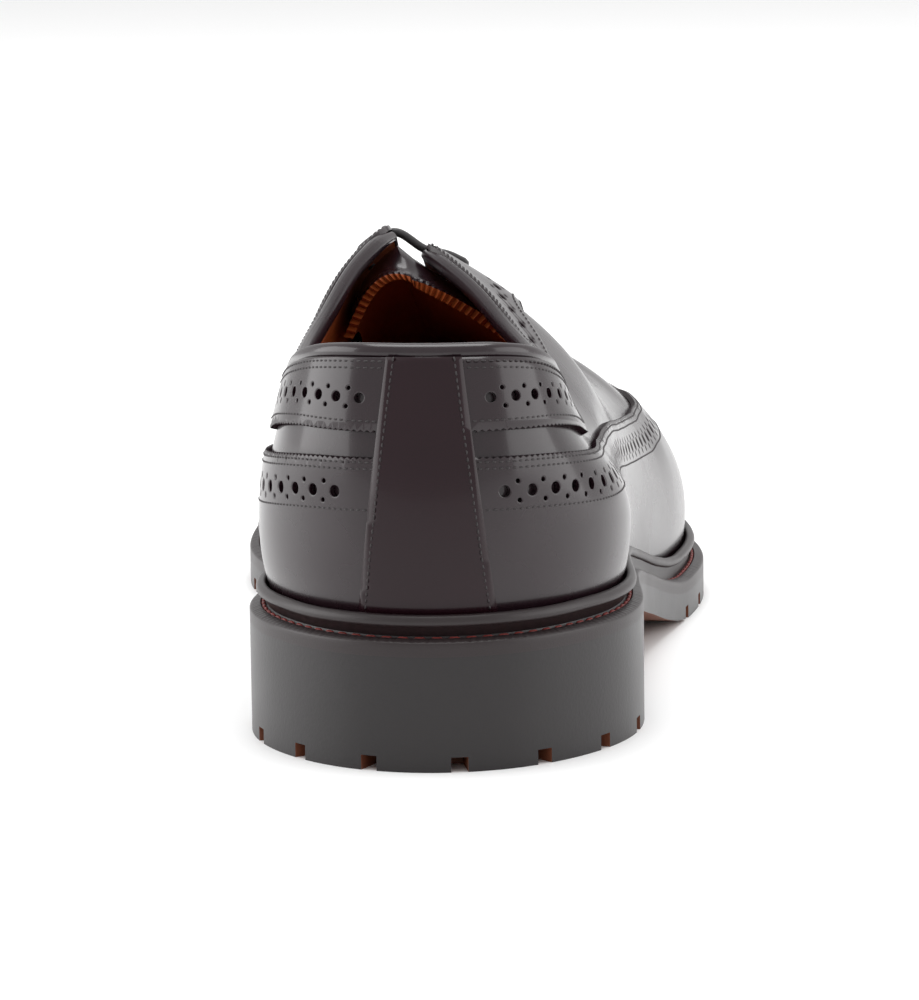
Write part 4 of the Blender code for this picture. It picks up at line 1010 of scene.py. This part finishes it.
def rounded_rods(centre, along, normal, length, radius):
    """Points and faces of rods with rounded ends that dip into the leather."""
    across = np.cross(normal, along)
    turn = np.linspace(0, 2 * np.pi, STITCH_SIDES, endpoint=False)
    lengthwise = (RING_AT * length / 2)[:, None, None]
    dip = -radius * STITCH_DIP * np.abs(RING_AT) ** 3
    upward = dip[:, None] + radius * (RING_SIZE[:, None] * np.sin(turn))
    sideways = radius * (RING_SIZE[:, None] * np.cos(turn))[:, :, None]
    rings = (
        centre[:, None, None]
        + along[:, None, None] * lengthwise
        + normal[:, None, None] * upward[:, :, None]
        + across[:, None, None] * sideways
    )
    one = grid_faces(len(RING_AT), STITCH_SIDES, wrap_rows=True)
    size = len(RING_AT) * STITCH_SIDES
    faces = (one[None] + size * np.arange(len(centre))[:, None, None]).reshape(-1, 4)
    return rings.reshape(-1, 3), faces


def sew(name, rows):
    """One mesh of stitches; each row is the places along it and the height of its leather."""
    points, faces, count = [], [], 0
    for places, height in rows:
        ahead = np.gradient(skin(*places.T), axis=0)
        normal = out_of(*places.T)
        along = unit(ahead - (ahead * normal).sum(1, keepdims=True) * normal)
        p, f = rounded_rods(skin(*places.T, height), along, normal, STITCH_LENGTH, STITCH_RADIUS)
        faces.append(f + count)
        points.append(p)
        count += len(p)
    add_mesh(name, np.vstack(points), np.vstack(faces), THREAD)


# %% Wing
# Teeth of the pinked edges
TOOTH = 0.0014
TOOTH_DEPTH = 0.00045
TOP_OF_BACK = 1 - TOPLINE_BEAD / length_at(0.0)
FACE = SEAT + OVERLAY


def backstay_edge(v):
    """Half of the backstay's width at v, as a share round the shoe."""
    v = np.asarray(v, float)
    lip = row_at_height(np.zeros(1), welt_top(0.0) + LIP_HEIGHT)[0]
    flare = np.clip((TOP_OF_BACK - v) / (TOP_OF_BACK - lip), 0, 1)
    half = (BACKSTAY_TOP + (BACKSTAY_FOOT - BACKSTAY_TOP) * flare) / 2
    step = 0.01
    apart = skin(np.full_like(v, step), v) - skin(np.full_like(v, -step), v)
    return half / (np.linalg.norm(apart, axis=-1) / (2 * step))


# Punch sizes, and where the punched line starts and stops
Punch = namedtuple("Punch", "inward pitch large small spread")
WING_PUNCH = Punch(0.0068, 0.0061, 0.0024, 0.0010, 0.0019)
BAND_PUNCH = Punch(0.0066, 0.0052, 0.0021, 0.0009, 0.0018)
WING_ENDS = 0.004
BAND_START, BAND_STOP = 0.003, 0.010
EYELET_RADIUS = 0.0017
# Distances of the seams from the cut edges, and how much share a piece tucks under the backstay
WING_SEAMS = (0.0010, 0.0023, 0.0103)
BAND_SEAM = 0.0021
TOPLINE_SEAMS = (0.0008, 0.0021)
TOPLINE_SEAM_STOP = 0.006
BACKSTAY_SEAM = 0.0015
TUCK = 0.004
# Share round the shoe from which the wing's peak gets finer steps, and the foot of the wing over the welt
PEAK_FINE = 0.86
WING_FOOT = 0.0012


def wing_edge():
    """The wing's top edge, walked from the outer side of the backstay over the toe to the inner side."""
    first = float(backstay_edge(wing_row(np.array([0.0])))[0]) - TUCK
    share = np.concatenate([np.linspace(first, PEAK_FINE, 500), np.linspace(PEAK_FINE, 1.0, 220)[1:]])
    both = np.concatenate([share, -share[::-1][1:]])
    return Line(np.stack([both, wing_row(both)], axis=1), inner_side=-1, wraps=True)


WING_EDGE = wing_edge()
print("wing edge %.0f mm" % (WING_EDGE.length / MM))


def build_wing():
    """Outline, holes and seams of the wing."""
    top = pinked(WING_EDGE, TOOTH, TOOTH_DEPTH)
    first = top[0, 0]
    back = np.concatenate([np.linspace(first, 1, 300), np.linspace(-1, -first, 300)[1:]])
    foot = row_at_height(back, welt_top(along_at(back) * SHOE_LENGTH) + WING_FOOT)
    outline = np.vstack([top, np.stack([back, foot], axis=1)[::-1]])
    holes = broguing(WING_EDGE, WING_PUNCH, WING_ENDS, WING_EDGE.length - WING_ENDS)
    cut_piece("wing_leather", outline, holes, OVERLAY, True, ["wing"])
    sew("wing_seams", [(WING_EDGE.inset(d, STITCH), FACE) for d in WING_SEAMS])


build_wing()

# %% Collar bands
# Row at which the band meets the backstay, and the last stretch of share, which has finer steps
BAND_AT = 0.9
LAST_BIT = 0.02


def band_outline(side):
    """Lower edge of a band as a line from the backstay forward, and the whole outline."""
    first = float(backstay_edge(np.array([BAND_AT]))[0]) - TUCK
    end = abs(share_at(FACING_END, side))
    straight = np.linspace(first, end - LAST_BIT, 400)
    share = side * np.concatenate([straight, end - LAST_BIT * np.linspace(1, 0, 80)[1:] ** 2])
    lower = Line(np.stack([share, band_row(share)], axis=1), inner_side=side)
    bead = TOPLINE_BEAD * (1 - smooth_between(along_at(share), SECTIONS[9].along, SECTIONS[10].along))
    under = np.maximum(1 - (bead + SEAT) / length_at(share), band_row(share))
    return lower, np.stack([share, under], axis=1)


def build_band(name, side, node_name):
    """Outline, holes, seams and eyelets of one collar band and facing."""
    lower, top = band_outline(side)
    outline = np.vstack([pinked(lower, TOOTH, TOOTH_DEPTH), top[::-1]])
    upper_line = Line(top, inner_side=-side)
    holes = broguing(lower, BAND_PUNCH, BAND_START, lower.length - BAND_STOP)
    eyelets = [circle(p, EYELET_RADIUS, EYELET_SIDES) for p in eyelet_places(side)]
    cut_piece(name, outline, holes + eyelets, OVERLAY, False, [node_name])
    stop = upper_line.length - TOPLINE_SEAM_STOP
    rows = [(lower.inset(BAND_SEAM, STITCH), FACE)]
    rows += [(upper_line.inset(d, STITCH, 0.0, stop), FACE) for d in TOPLINE_SEAMS]
    sew(name + "_seams", rows)


def share_of_top(y, side):
    """Share round the shoe of the section whose top lies at the station y."""
    half = EDGE_SHARE * side >= 0
    tops, shares = LANES["y"][half], EDGE_SHARE[half]
    order = np.argsort(tops, kind="stable")
    return np.interp(y, tops[order], shares[order])


FACING_TOP = SECTIONS[10].top_along * SHOE_LENGTH
THROAT_FOOT = SECTIONS[13].top_along * SHOE_LENGTH
LACE_STATIONS = FACING_TOP + FIRST_ROW + np.arange(LACE_ROWS) * LACE_PITCH


def eyelet_places(side):
    """Where the lace goes through one facing."""
    share = share_of_top(LACE_STATIONS, side)
    return np.stack([share, 1 - EYELET_INSET / length_at(share)], axis=1)


build_band("collar_band_outer_leather", 1, "collar_band_outer")
build_band("collar_band_inner_leather", -1, "collar_band_inner")

# %% Backstay
BACKSTAY_LOW = 0.035
BACKSTAY_GAP = 0.004


def build_backstay():
    """The strip up the back, with a seam inside each edge."""
    v = np.linspace(BACKSTAY_LOW, TOP_OF_BACK - BACKSTAY_GAP, 240)
    half = backstay_edge(v)
    outline = np.concatenate([np.stack([half, v], axis=1), np.stack([-half, v], axis=1)[::-1]])
    # The backstay gets the darkened copy of the leather, a painted dark reflection.
    cut_piece("backstay_leather", outline, [], BACKSTAY, False, ["backstay"], BACKSTAY_PAINTED_REFLECTION)
    edges = [Line(np.stack([side * half, v], axis=1), inner_side=side) for side in (1, -1)]
    sew("backstay_seams", [(edge.inset(BACKSTAY_SEAM, STITCH), SEAT + BACKSTAY) for edge in edges])


build_backstay()

# %% [markdown]
# ## Welt
# A storm welt is a strip of leather sewn to the outsole all round. Its inner edge is turned up into
# a lip that stands against the upper, the thread lies in the channel beside it, and a hot wheel has pressed
# the marks into its outer edge.

# %% Welt
WELT_COLUMNS = 1440
WHEEL_PITCH = 0.0017
WHEEL_DEPTH = 0.00022
WHEEL_SHAPE = 0.6
# inset: share of the way from the edge to the upper; over: height over the welt's edge;
# wheel: share of the marks' depth
ShelfRow = namedtuple("ShelfRow", "inset over wheel")
SHELF = (
    ShelfRow(0.000, -WELT_EDGE, 0),
    ShelfRow(0.000, -0.0012, 0),
    ShelfRow(0.000, -0.0004, 0),
    ShelfRow(0.012, -0.0001, 0.1),
    ShelfRow(0.045, 0.0001, 0.6),
    ShelfRow(0.100, 0.0003, 1),
    ShelfRow(0.200, 0.0005, 1),
    ShelfRow(0.290, 0.0007, 0.9),
    ShelfRow(0.340, 0.0007, 0.3),
    ShelfRow(0.370, 0.0002, 0),
    ShelfRow(0.440, -0.0001, 0),
    ShelfRow(0.520, 0.0001, 0),
    ShelfRow(0.570, 0.0008, 0),
)
# Shares over which the lip comes in from the backstay to the wing, and the lip's own round
BACKSTAY_FADE = (0.07, 0.12)
LIP_FOOT = 0.0021
LIP_FROM = -75
LIP_STEPS = 13
LIP_SWELL = 1.12
# The thread: how far in it lies, as a share of the shelf, and its stitches
GROOVE_INSET = 0.455
THREAD_OVER = 0.0004
THREAD_PITCH = 0.0034
THREAD_LENGTH = 0.0031
THREAD_RADIUS = 0.00048


def stand_off(shares):
    """Gap between the upper's wall and the lip: what is sewn on the wall, and a little more."""
    thicker = (BACKSTAY - OVERLAY) * (1 - smooth_between(np.abs(shares), *BACKSTAY_FADE))
    return OVERLAY + thicker + 3 * SEAT


def build_welt():
    """The welt's profile, carried round the shoe."""
    shares = np.linspace(-1, 1, WELT_COLUMNS + 1)[:-1]
    base = welt_top(edge_point(shares)[:, 1])
    off = stand_off(shares)
    run = np.interp(shares, EDGE_SHARE, walked(EDGE))
    mark = np.abs(np.sin(np.pi * run / WHEEL_PITCH)) ** WHEEL_SHAPE
    rows = []
    for row in SHELF:
        plan = edge_point(shares, row.inset * (WELT_WIDTH - off))
        rows.append(np.column_stack([plan, base + row.over - row.wheel * WHEEL_DEPTH * (1 - mark)]))
    v = row_at_height(shares, base + LIP_HEIGHT - LIP_THICKNESS / 2)
    centre = skin(shares, v, off + LIP_THICKNESS / 2)
    normal = out_of(shares, v)
    upward = np.array([0.0, 0.0, 1.0])
    for degrees in np.linspace(LIP_FROM, 180, LIP_STEPS):
        turn = math.radians(degrees)
        swell = LIP_SWELL if degrees < 90 else 1.0
        rows.append(centre + (math.cos(turn) * normal + math.sin(turn) * upward) * LIP_THICKNESS / 2 * swell)
    rows.append(skin(shares, row_at_height(shares, base + LIP_FOOT), off))
    bottom = rise(edge_point(shares)[:, 1]) + OUTSOLE
    rows.append(np.column_stack([edge_point(shares, WELT_WIDTH - off), bottom]))
    points = np.stack(rows, axis=1)
    faces = grid_faces(*points.shape[:2], wrap_columns=True, wrap_rows=True)[:, ::-1]
    points = points.reshape(-1, 3)
    welt = add_mesh("welt_leather", points, faces, WELT_TOP, replaces=["welt"])
    welt.data.set_sharp_from_angle(angle=math.radians(50))


def sew_welt():
    """The heavy thread in the channel."""
    shares = np.linspace(-1, 1, 2001)
    line = edge_point(shares, GROOVE_INSET * (WELT_WIDTH - stand_off(shares)))
    line = np.column_stack([line, welt_top(line[:, 1]) + THREAD_OVER])
    run = walked(line)
    at = np.arange(0, run[-1], THREAD_PITCH)
    centre, next_point = (
        np.stack([np.interp(s, run, line[:, k]) for k in range(3)], axis=1) for s in (at, at + MM)
    )
    normal = np.broadcast_to([0.0, 0.0, 1.0], centre.shape)
    ahead = unit(next_point - centre + 1e-9)
    points, faces = rounded_rods(centre, ahead, normal, THREAD_LENGTH, THREAD_RADIUS)
    add_mesh("welt_thread", points, faces, WELT_THREAD)


build_welt()
sew_welt()

# %% [markdown]
# ## Sole and heel
# Moulded rubber with its edge dressed dark. The notches are cut through the dressed edge, so the brown of the
# rubber shows inside them and on the tread.

# %% Sole and heel
# Stations of the forefoot's tread are shares of SHOE_LENGTH; cutters start BELOW the floor and
# overshoot what they cut
EDGE_ROUND = 0.0006
FORE_TREAD_FROM = 0.520
FORE_TREAD_TO = 0.965
HEEL_RIM = 0.010
HEEL_INTO_SOLE = 0.0002
BELOW = -0.020
OVERSHOOT = 0.002


def width_at(y, inset):
    """Inner and outer edge of the sole at the station y, moved in by inset."""
    line = EDGE + INWARD * inset
    middle = len(EDGE) // 2
    halves = (line[middle::-1], line[middle:])
    return [np.interp(y, half[:, 1], half[:, 0]) for half in halves]


def body_between(name, inset, start, stop, low, high, stations, material):
    """A closed body inside the outline between two stations, as a mesh object that Booleans can use."""
    line = EDGE + INWARD * inset
    first, last = max(start, line[:, 1].min()), min(stop, line[:, 1].max())
    y = first + (last - first) * (1 - np.cos(np.linspace(0, np.pi, stations))) / 2
    inner, outer = width_at(y, inset)
    corners = ((inner, low(y)), (outer, low(y)), (outer, high(y)), (inner, high(y)))
    points = np.stack([np.stack([x, y, np.broadcast_to(z, y.shape)], axis=1) for x, z in corners], axis=1)
    mesh_data = bmesh.new()
    grid = [[mesh_data.verts.new(p - (0, HEEL_CENTRE, 0)) for p in ring] for ring in points]
    for k in range(stations - 1):
        for c in range(4):
            mesh_data.faces.new([grid[k][c], grid[k + 1][c], grid[k + 1][(c + 1) % 4], grid[k][(c + 1) % 4]])
    mesh_data.faces.new(grid[0])
    mesh_data.faces.new(grid[-1])
    return closed_object(name, mesh_data, material)


def closed_object(name, mesh_data, material):
    """An object from a closed bmesh."""
    bmesh.ops.remove_doubles(mesh_data, verts=mesh_data.verts, dist=2e-6)
    bmesh.ops.dissolve_degenerate(mesh_data, edges=mesh_data.edges, dist=1e-6)
    bmesh.ops.recalc_face_normals(mesh_data, faces=mesh_data.faces)
    mesh = bpy.data.meshes.new(name)
    mesh_data.to_mesh(mesh)
    mesh_data.free()
    mesh.materials.append(material)
    piece = bpy.data.objects.new(name, mesh)
    bpy.context.scene.collection.objects.link(piece)
    return piece


def blocks(name, boxes):
    """Upright blocks: centre, half width across, half length along, direction, bottom and top."""
    mesh_data = bmesh.new()
    for centre, across, along, turn, bottom, top in boxes:
        side = np.array([math.cos(turn), math.sin(turn)])
        front = np.array([-math.sin(turn), math.cos(turn)])
        shift = np.array([0, HEEL_CENTRE])
        signs = ((-1, -1), (1, -1), (1, 1), (-1, 1))
        corners = [centre - shift + side * across * a + front * along * b for a, b in signs]
        rings = [[mesh_data.verts.new((*c, z)) for c in corners] for z in (bottom, top)]
        mesh_data.faces.new(rings[0][::-1])
        mesh_data.faces.new(rings[1])
        for k in range(4):
            mesh_data.faces.new([rings[0][k], rings[0][(k + 1) % 4], rings[1][(k + 1) % 4], rings[1][k]])
    return closed_object(name, mesh_data, TREAD_RUBBER)


def apply_cuts(piece, cutters):
    """Take the cutters out of the piece; the cut faces keep the cutter's material."""
    for cutter in cutters:
        step = piece.modifiers.new(cutter.name, "BOOLEAN")
        step.object, step.operation = cutter, "DIFFERENCE"
        step.solver, step.material_mode = "EXACT", "TRANSFER"
    seen = piece.evaluated_get(bpy.context.evaluated_depsgraph_get())
    mesh = bpy.data.meshes.new_from_object(seen)
    piece.modifiers.clear()
    piece.data = mesh
    for cutter in cutters:
        bpy.data.objects.remove(cutter, do_unlink=True)


def edge_notches(name, first, last, floor_height):
    """Square notches through the bottom edge, at even steps between two stations on both sides."""
    middle = len(EDGE) // 2
    run = walked(EDGE)
    run -= run[middle]
    boxes = []
    for k in range(int(run[0] // NOTCH_PITCH), int(run[-1] // NOTCH_PITCH) + 1):
        here = NOTCH_START + k * NOTCH_PITCH
        share = np.interp(here, run, EDGE_SHARE)
        point = edge_point(share)
        if run[0] < here < run[-1] and first < point[1] < last:
            inward = np.array([np.interp(share, EDGE_SHARE, INWARD[:, a]) for a in (0, 1)])
            centre = point + inward * (NOTCH_REACH - OVERSHOOT) / 2
            top = float(floor_height(centre[1])) + LUG_DEPTH
            turn = math.atan2(inward[1], inward[0])
            boxes.append((centre, (NOTCH_REACH + OVERSHOOT) / 2, NOTCH_WIDTH / 2, turn, BELOW, top))
    return blocks(name, boxes)


def inner_lugs(name, first, last):
    """Blocks that stay standing inside the rim of lugs."""
    pitch = LUG_WIDTH + LUG_GROOVE
    rows = int((last - first) // pitch)
    spare = (last - first - rows * pitch + LUG_GROOVE) / 2
    boxes = []
    for row in range(rows):
        y = first + spare + LUG_WIDTH / 2 + row * pitch
        inner, outer = width_at(y, RIM_WIDTH + LUG_GROOVE)
        near = [width_at(y + side * LUG_WIDTH / 2, RIM_WIDTH + LUG_GROOVE) for side in (-1, 1)]
        left, right = max(n[0] for n in near), min(n[1] for n in near)
        count = max(0, int((right - left + LUG_GROOVE) // pitch))
        middle = 0.0 if first < HEEL_CENTRE < last else (inner + outer) / 2
        for k in range(count):
            centre = np.array([middle + (k - (count - 1) / 2) * pitch, y])
            boxes.append((centre, LUG_WIDTH / 2, LUG_WIDTH / 2, 0.0, 2 * BELOW, -BELOW))
    return blocks(name, boxes)


def finish_rubber(piece, node_name):
    """Brown on the tread, smooth round the edge, riding on the frame."""
    mesh = piece.data
    down = np.empty(len(mesh.polygons) * 3)
    mesh.polygons.foreach_get("normal", down)
    slots = [m.name for m in mesh.materials]
    if TREAD_RUBBER.name not in slots:
        mesh.materials.append(TREAD_RUBBER)
        slots.append(TREAD_RUBBER.name)
    index = np.empty(len(mesh.polygons), int)
    mesh.polygons.foreach_get("material_index", index)
    index[down.reshape(-1, 3)[:, 2] < -0.7] = slots.index(TREAD_RUBBER.name)
    mesh.polygons.foreach_set("material_index", index)
    mesh.shade_smooth()
    mesh.set_sharp_from_angle(angle=math.radians(35))
    bevel = piece.modifiers.new("worn edge", "BEVEL")
    bevel.width, bevel.segments = EDGE_ROUND, 2
    bevel.limit_method, bevel.angle_limit = "ANGLE", math.radians(50)
    bevel.harden_normals = True
    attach(piece, "root")
    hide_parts(node_name)
    print(piece.name, len(mesh.polygons), "faces")


def floor(y):
    """The floor, as a height for each station."""
    return np.zeros_like(np.asarray(y, float))


def tread_recess(name, start, stop, underside, stations):
    """What is taken out of the underside inside the rim of lugs, less the lugs that stay."""
    recess = body_between(
        "recess of the " + name, RIM_WIDTH, start, stop, lambda y: floor(y) + BELOW,
        lambda y: underside(y) + LUG_DEPTH, stations, TREAD_RUBBER,
    )
    apply_cuts(recess, [inner_lugs("lugs of the " + name, start, stop)])
    return recess


def build_sole():
    """Outsole and heel with their notches and treads."""
    sole = body_between(
        "outsole_rubber", 0, 0, SHOE_LENGTH, rise, lambda y: rise(y) + OUTSOLE, 260, EDGE_DRESSED
    )
    start, stop = FORE_TREAD_FROM * SHOE_LENGTH, FORE_TREAD_TO * SHOE_LENGTH
    recess = tread_recess("forefoot", start, stop, rise, 60)
    apply_cuts(sole, [edge_notches("notches of the forefoot", start, SHOE_LENGTH, rise), recess])
    finish_rubber(sole, "outsole")
    heel = body_between(
        "heel_rubber", 0, 0, HEEL_LENGTH, floor, lambda y: rise(y) + HEEL_INTO_SOLE, 120, EDGE_DRESSED
    )
    recess = tread_recess("heel", HEEL_RIM, HEEL_LENGTH - HEEL_RIM, floor, 40)
    notches = edge_notches("notches of the heel", -0.001, HEEL_LENGTH - NOTCH_WIDTH, floor)
    apply_cuts(heel, [notches, recess])
    finish_rubber(heel, "heel")


build_sole()

# %% [markdown]
# ## Tongue, insole sock and laces
# The tongue is one thickness of tan-backed leather, pinked at its top. The laces are short round
# bars over the throat that dive through punched eyelets.

# %% Tongue
TONGUE_COLUMNS = 64
TONGUE_ROWS = 60
FREE_ROWS = 11
TONGUE_PAST = 0.007
TONGUE_TOOTH = 0.0016
# Beyond the facings: how far the ridge sinks and the sides come in, how much the arch fills out, and the
# shares of the free length over which the bends spread out and the teeth begin
SIDE_DRIFT = 0.0006
RIDGE_DROOP = 0.0026
DROOP_DOWN = 0.010
ARCH_RISE = 0.0012
SOFTEN = (0.0, 0.7)
TEETH = (0.8, 1.0)


def eased(line, times):
    """A row of points with its bends spread out, its ends kept."""
    line = line.copy()
    for _ in range(times):
        line[1:-1] = (line[:-2] + 2 * line[1:-1] + line[2:]) / 4
    return line


def tongue_sheet(depth):
    """One face of the tongue at a depth under the wall: rows under the facings, then the free ones."""
    down = np.abs(np.linspace(1, -1, TONGUE_COLUMNS + 1)) * TONGUE_WIDTH / 2
    half = TONGUE_COLUMNS // 2
    rows = []
    for y in np.linspace(THROAT_FOOT + TONGUE_PAST, FACING_TOP, TONGUE_ROWS):
        sides = []
        for side, part in ((1, down[:half]), (-1, down[half + 1:])):
            share = share_of_top(y, side)
            sides.append(skin(np.full(half, share), 1 - part / length_at(share), -depth))
        middle = (sides[0][-1] + sides[1][0]) / 2
        rows.append(np.vstack([sides[0], middle[None], sides[1]]))
    rows = np.array(rows)
    last = rows[-1]
    ahead = unit(last - rows[-3])
    inward = last.mean(axis=0) - last
    inward[:, 2] = -DROOP_DOWN
    across = np.abs(np.linspace(-1, 1, TONGUE_COLUMNS + 1))
    inward = unit(inward) * (SIDE_DRIFT + RIDGE_DROOP * (1 - across[:, None] ** 2))
    tooth = np.where(np.arange(TONGUE_COLUMNS + 1) % 2, -TONGUE_TOOTH, 0.0)[:, None]
    soft = eased(last, TONGUE_COLUMNS * 2) - last
    free = []
    for part in np.linspace(0, 1, FREE_ROWS + 1)[1:]:
        reach = TONGUE_REACH * part + tooth * smooth_between(part, *TEETH)
        sheet = last + soft * smooth_between(part, *SOFTEN) + ahead * reach + inward * part ** 1.5
        sheet[:, 2] += ARCH_RISE * part * across * (1 - across) * 4
        free.append(sheet)
    return np.concatenate([rows, np.array(free)])


def build_tongue():
    """The tongue follows the underside of the facings and droops where it runs free past their top."""
    under = WALL + 4 * SEAT
    outer, inner = tongue_sheet(under), tongue_sheet(under + TONGUE)
    columns, rows = outer.shape[:2]
    points = np.vstack([outer.reshape(-1, 3), inner.reshape(-1, 3)])
    below = columns * rows
    top, bottom = grid_faces(columns, rows), grid_faces(columns, rows, first=below)[:, ::-1]
    last = (columns - 1) * rows + np.arange(rows - 1)
    rim = np.stack([last, last + 1, below + last + 1, below + last], axis=1)
    tongue = add_mesh(
        "tongue_leather", points, np.vstack([top, bottom, rim]), [POLISHED, LINING], replaces=["tongue"],
    )
    index = np.zeros(len(tongue.data.polygons), int)
    index[len(top):] = 1
    tongue.data.polygons.foreach_set("material_index", index)
    tongue.data.set_sharp_from_angle(angle=math.radians(45))


build_tongue()

# %% Insole sock
SOCK_BACK, SOCK_TIP = 0.0125, 0.0135
SOCK = 0.0004
SOCK_DOME = 0.0012


def build_sock():
    """The tan sock on the insole, domed a little towards the wall."""
    y = np.linspace(SOCK_BACK, SHOE_LENGTH - SOCK_TIP, 120)
    inner, outer = width_at(y, WELT_WIDTH + WALL + 2 * SEAT)
    across = np.linspace(0, 1, 24)
    x = inner[:, None] + (outer - inner)[:, None] * across
    z = rise(y)[:, None] + OUTSOLE + SEAT + INSOLE + SOCK + SOCK_DOME * np.abs(2 * across - 1) ** 4
    points = np.stack([x, np.broadcast_to(y[:, None], x.shape), z], axis=-1).reshape(-1, 3)
    add_mesh("insole_sock", points, grid_faces(*x.shape)[:, ::-1], LINING)


build_sock()
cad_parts["insole"].data.materials.clear()
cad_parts["insole"].data.materials.append(LINING)

# %% Laces
# LACE_LOOK is the lace's diameter here, thinner than the CAD bar, which looked too heavy by the photograph.
# The route of each half: place as a share of EYELET_INSET, and height over the wall.
LACE_SIDES = 12
LACE_POINTS = 60
LACE_LOOK = 0.0019
AWAY = np.array([1.0, 1.0, 0.93, 0.75, 0.5, 0.25, 0.0])
LIFT = np.array([-WALL - 0.0006, -0.0006, 0.0018, 0.0019, 0.0017, 0.0011, 0.0004])


def tube(path, radius, sides):
    """Points and faces of a round bar with closed ends along a path."""
    ahead = unit(np.gradient(path, axis=0))
    second = unit(np.cross(ahead, np.array([0.0, 1.0, 0.0])))
    first = np.cross(second, ahead)
    turn = np.linspace(0, 2 * np.pi, sides, endpoint=False)
    ring = np.cos(turn)[None, :, None] * first[:, None] + np.sin(turn)[None, :, None] * second[:, None]
    points = (path[:, None] + radius * ring).reshape(-1, 3)
    faces = [list(f) for f in grid_faces(len(path), sides, wrap_rows=True)]
    return points, faces + [list(range(sides))[::-1], [len(points) - sides + k for k in range(sides)]]


def build_laces():
    """Each bar comes up through one eyelet, crosses the throat and goes down through the other."""
    away = AWAY * EYELET_INSET
    for row, y in enumerate(LACE_STATIONS):
        halves = []
        for side in (1, -1):
            share = np.full(len(away), share_of_top(y, side))
            halves.append(skin(share, 1 - away / length_at(share), LIFT))
        route = np.vstack([halves[0], halves[1][::-1]])
        run = walked(route)
        fine = np.linspace(0, run[-1], LACE_POINTS)
        path = np.stack([monotone(run, route[:, k], fine) for k in range(3)], axis=1)
        points, faces = tube(path, LACE_LOOK / 2, LACE_SIDES)
        number = row + 1
        bar = "lace_bar_%d" % number
        add_mesh("lace_%d" % number, points, faces, LACE_COTTON, replaces=[bar])


build_laces()

# %% [markdown]
# ## Studio
# A white sweep between two broad windows and a light above, seen through a long lens from behind the
# heel, as in the photograph.

# %% Floor, light and camera
def plain(name, colour, roughness=0.6):
    """A plain material for the studio."""
    material = bpy.data.materials.new(name)
    material.use_nodes = True
    shader = material.node_tree.nodes["Principled BSDF"]
    shader.inputs["Base Color"].default_value = linear(colour)
    shader.inputs["Roughness"].default_value = roughness
    return material


def stage_plane(name, corners, material):
    """A flat piece of the studio."""
    mesh = bpy.data.meshes.new(name)
    mesh.from_pydata(corners, [], [[0, 1, 2, 3]])
    mesh.materials.append(material)
    piece = bpy.data.objects.new(name, mesh)
    bpy.context.scene.collection.objects.link(piece)


def area_light(name, place, target, size, power):
    """A broad soft light, aimed at a point."""
    data = bpy.data.lights.new(name, "AREA")
    data.shape, data.size, data.energy = "SQUARE", size, power
    lamp = bpy.data.objects.new(name, data)
    lamp.location = place
    lamp.rotation_euler = (Vector(target) - Vector(place)).to_track_quat("-Z", "Y").to_euler()
    bpy.context.scene.collection.objects.link(lamp)


FLOOR_REACH = 6
WORLD_STRENGTH = 0.9
bpy.context.scene.view_settings.view_transform = "Standard"
FLOOR_CORNERS = [(x * FLOOR_REACH, y * FLOOR_REACH, 0) for x, y in ((-1, -1), (1, -1), (1, 1), (-1, 1))]
stage_plane("floor", FLOOR_CORNERS, plain("white sweep", "#f6f6f6"))
world = bpy.data.worlds.new("studio")
bpy.context.scene.world = world
world.use_nodes = True
world.node_tree.nodes["Background"].inputs["Color"].default_value = (1, 1, 1, 1)
world.node_tree.nodes["Background"].inputs["Strength"].default_value = WORLD_STRENGTH
area_light("left window", (-2.6, 0.1, 0.95), (0, 0.1, 0.95), 2.6, 55)
area_light("right window", (2.6, 0.1, 0.95), (0, 0.1, 0.95), 2.6, 40)
area_light("top light", (0.0, 0.5, 3.2), (0, 0.5, 0.0), 2.0, 60)

# Camera: distance, height and turn were fitted to edges of the shoe in the photograph
PHOTO_SIZE = (919, 1000)
FOCAL_PIXELS = 4162
CAMERA_AWAY = 0.839
CAMERA_HEIGHT = 0.175
AIM = (0.0038, 0.040)
YAW, PITCH_DOWN, ROLL = (math.radians(a) for a in (4.8, 8.6, -0.8))


def add_camera():
    """The photograph's camera."""
    data = bpy.data.cameras.new("photo camera")
    data.sensor_width = 36
    data.lens = FOCAL_PIXELS * data.sensor_width / max(PHOTO_SIZE)
    data.clip_start, data.clip_end = 0.01, 30
    camera = bpy.data.objects.new("photo camera", data)
    camera.location = (
        AIM[0] + math.sin(YAW) * CAMERA_AWAY,
        AIM[1] - math.cos(YAW) * CAMERA_AWAY - HEEL_CENTRE,
        CAMERA_HEIGHT,
    )
    level = Vector((-math.sin(YAW), math.cos(YAW), 0))
    ahead = level * math.cos(PITCH_DOWN) - Vector((0, 0, math.sin(PITCH_DOWN)))
    camera.rotation_euler = ahead.to_track_quat("-Z", "Y").to_euler()
    camera.rotation_euler.rotate_axis("Z", ROLL)
    bpy.context.scene.collection.objects.link(camera)
    bpy.context.scene.camera = camera


add_camera()
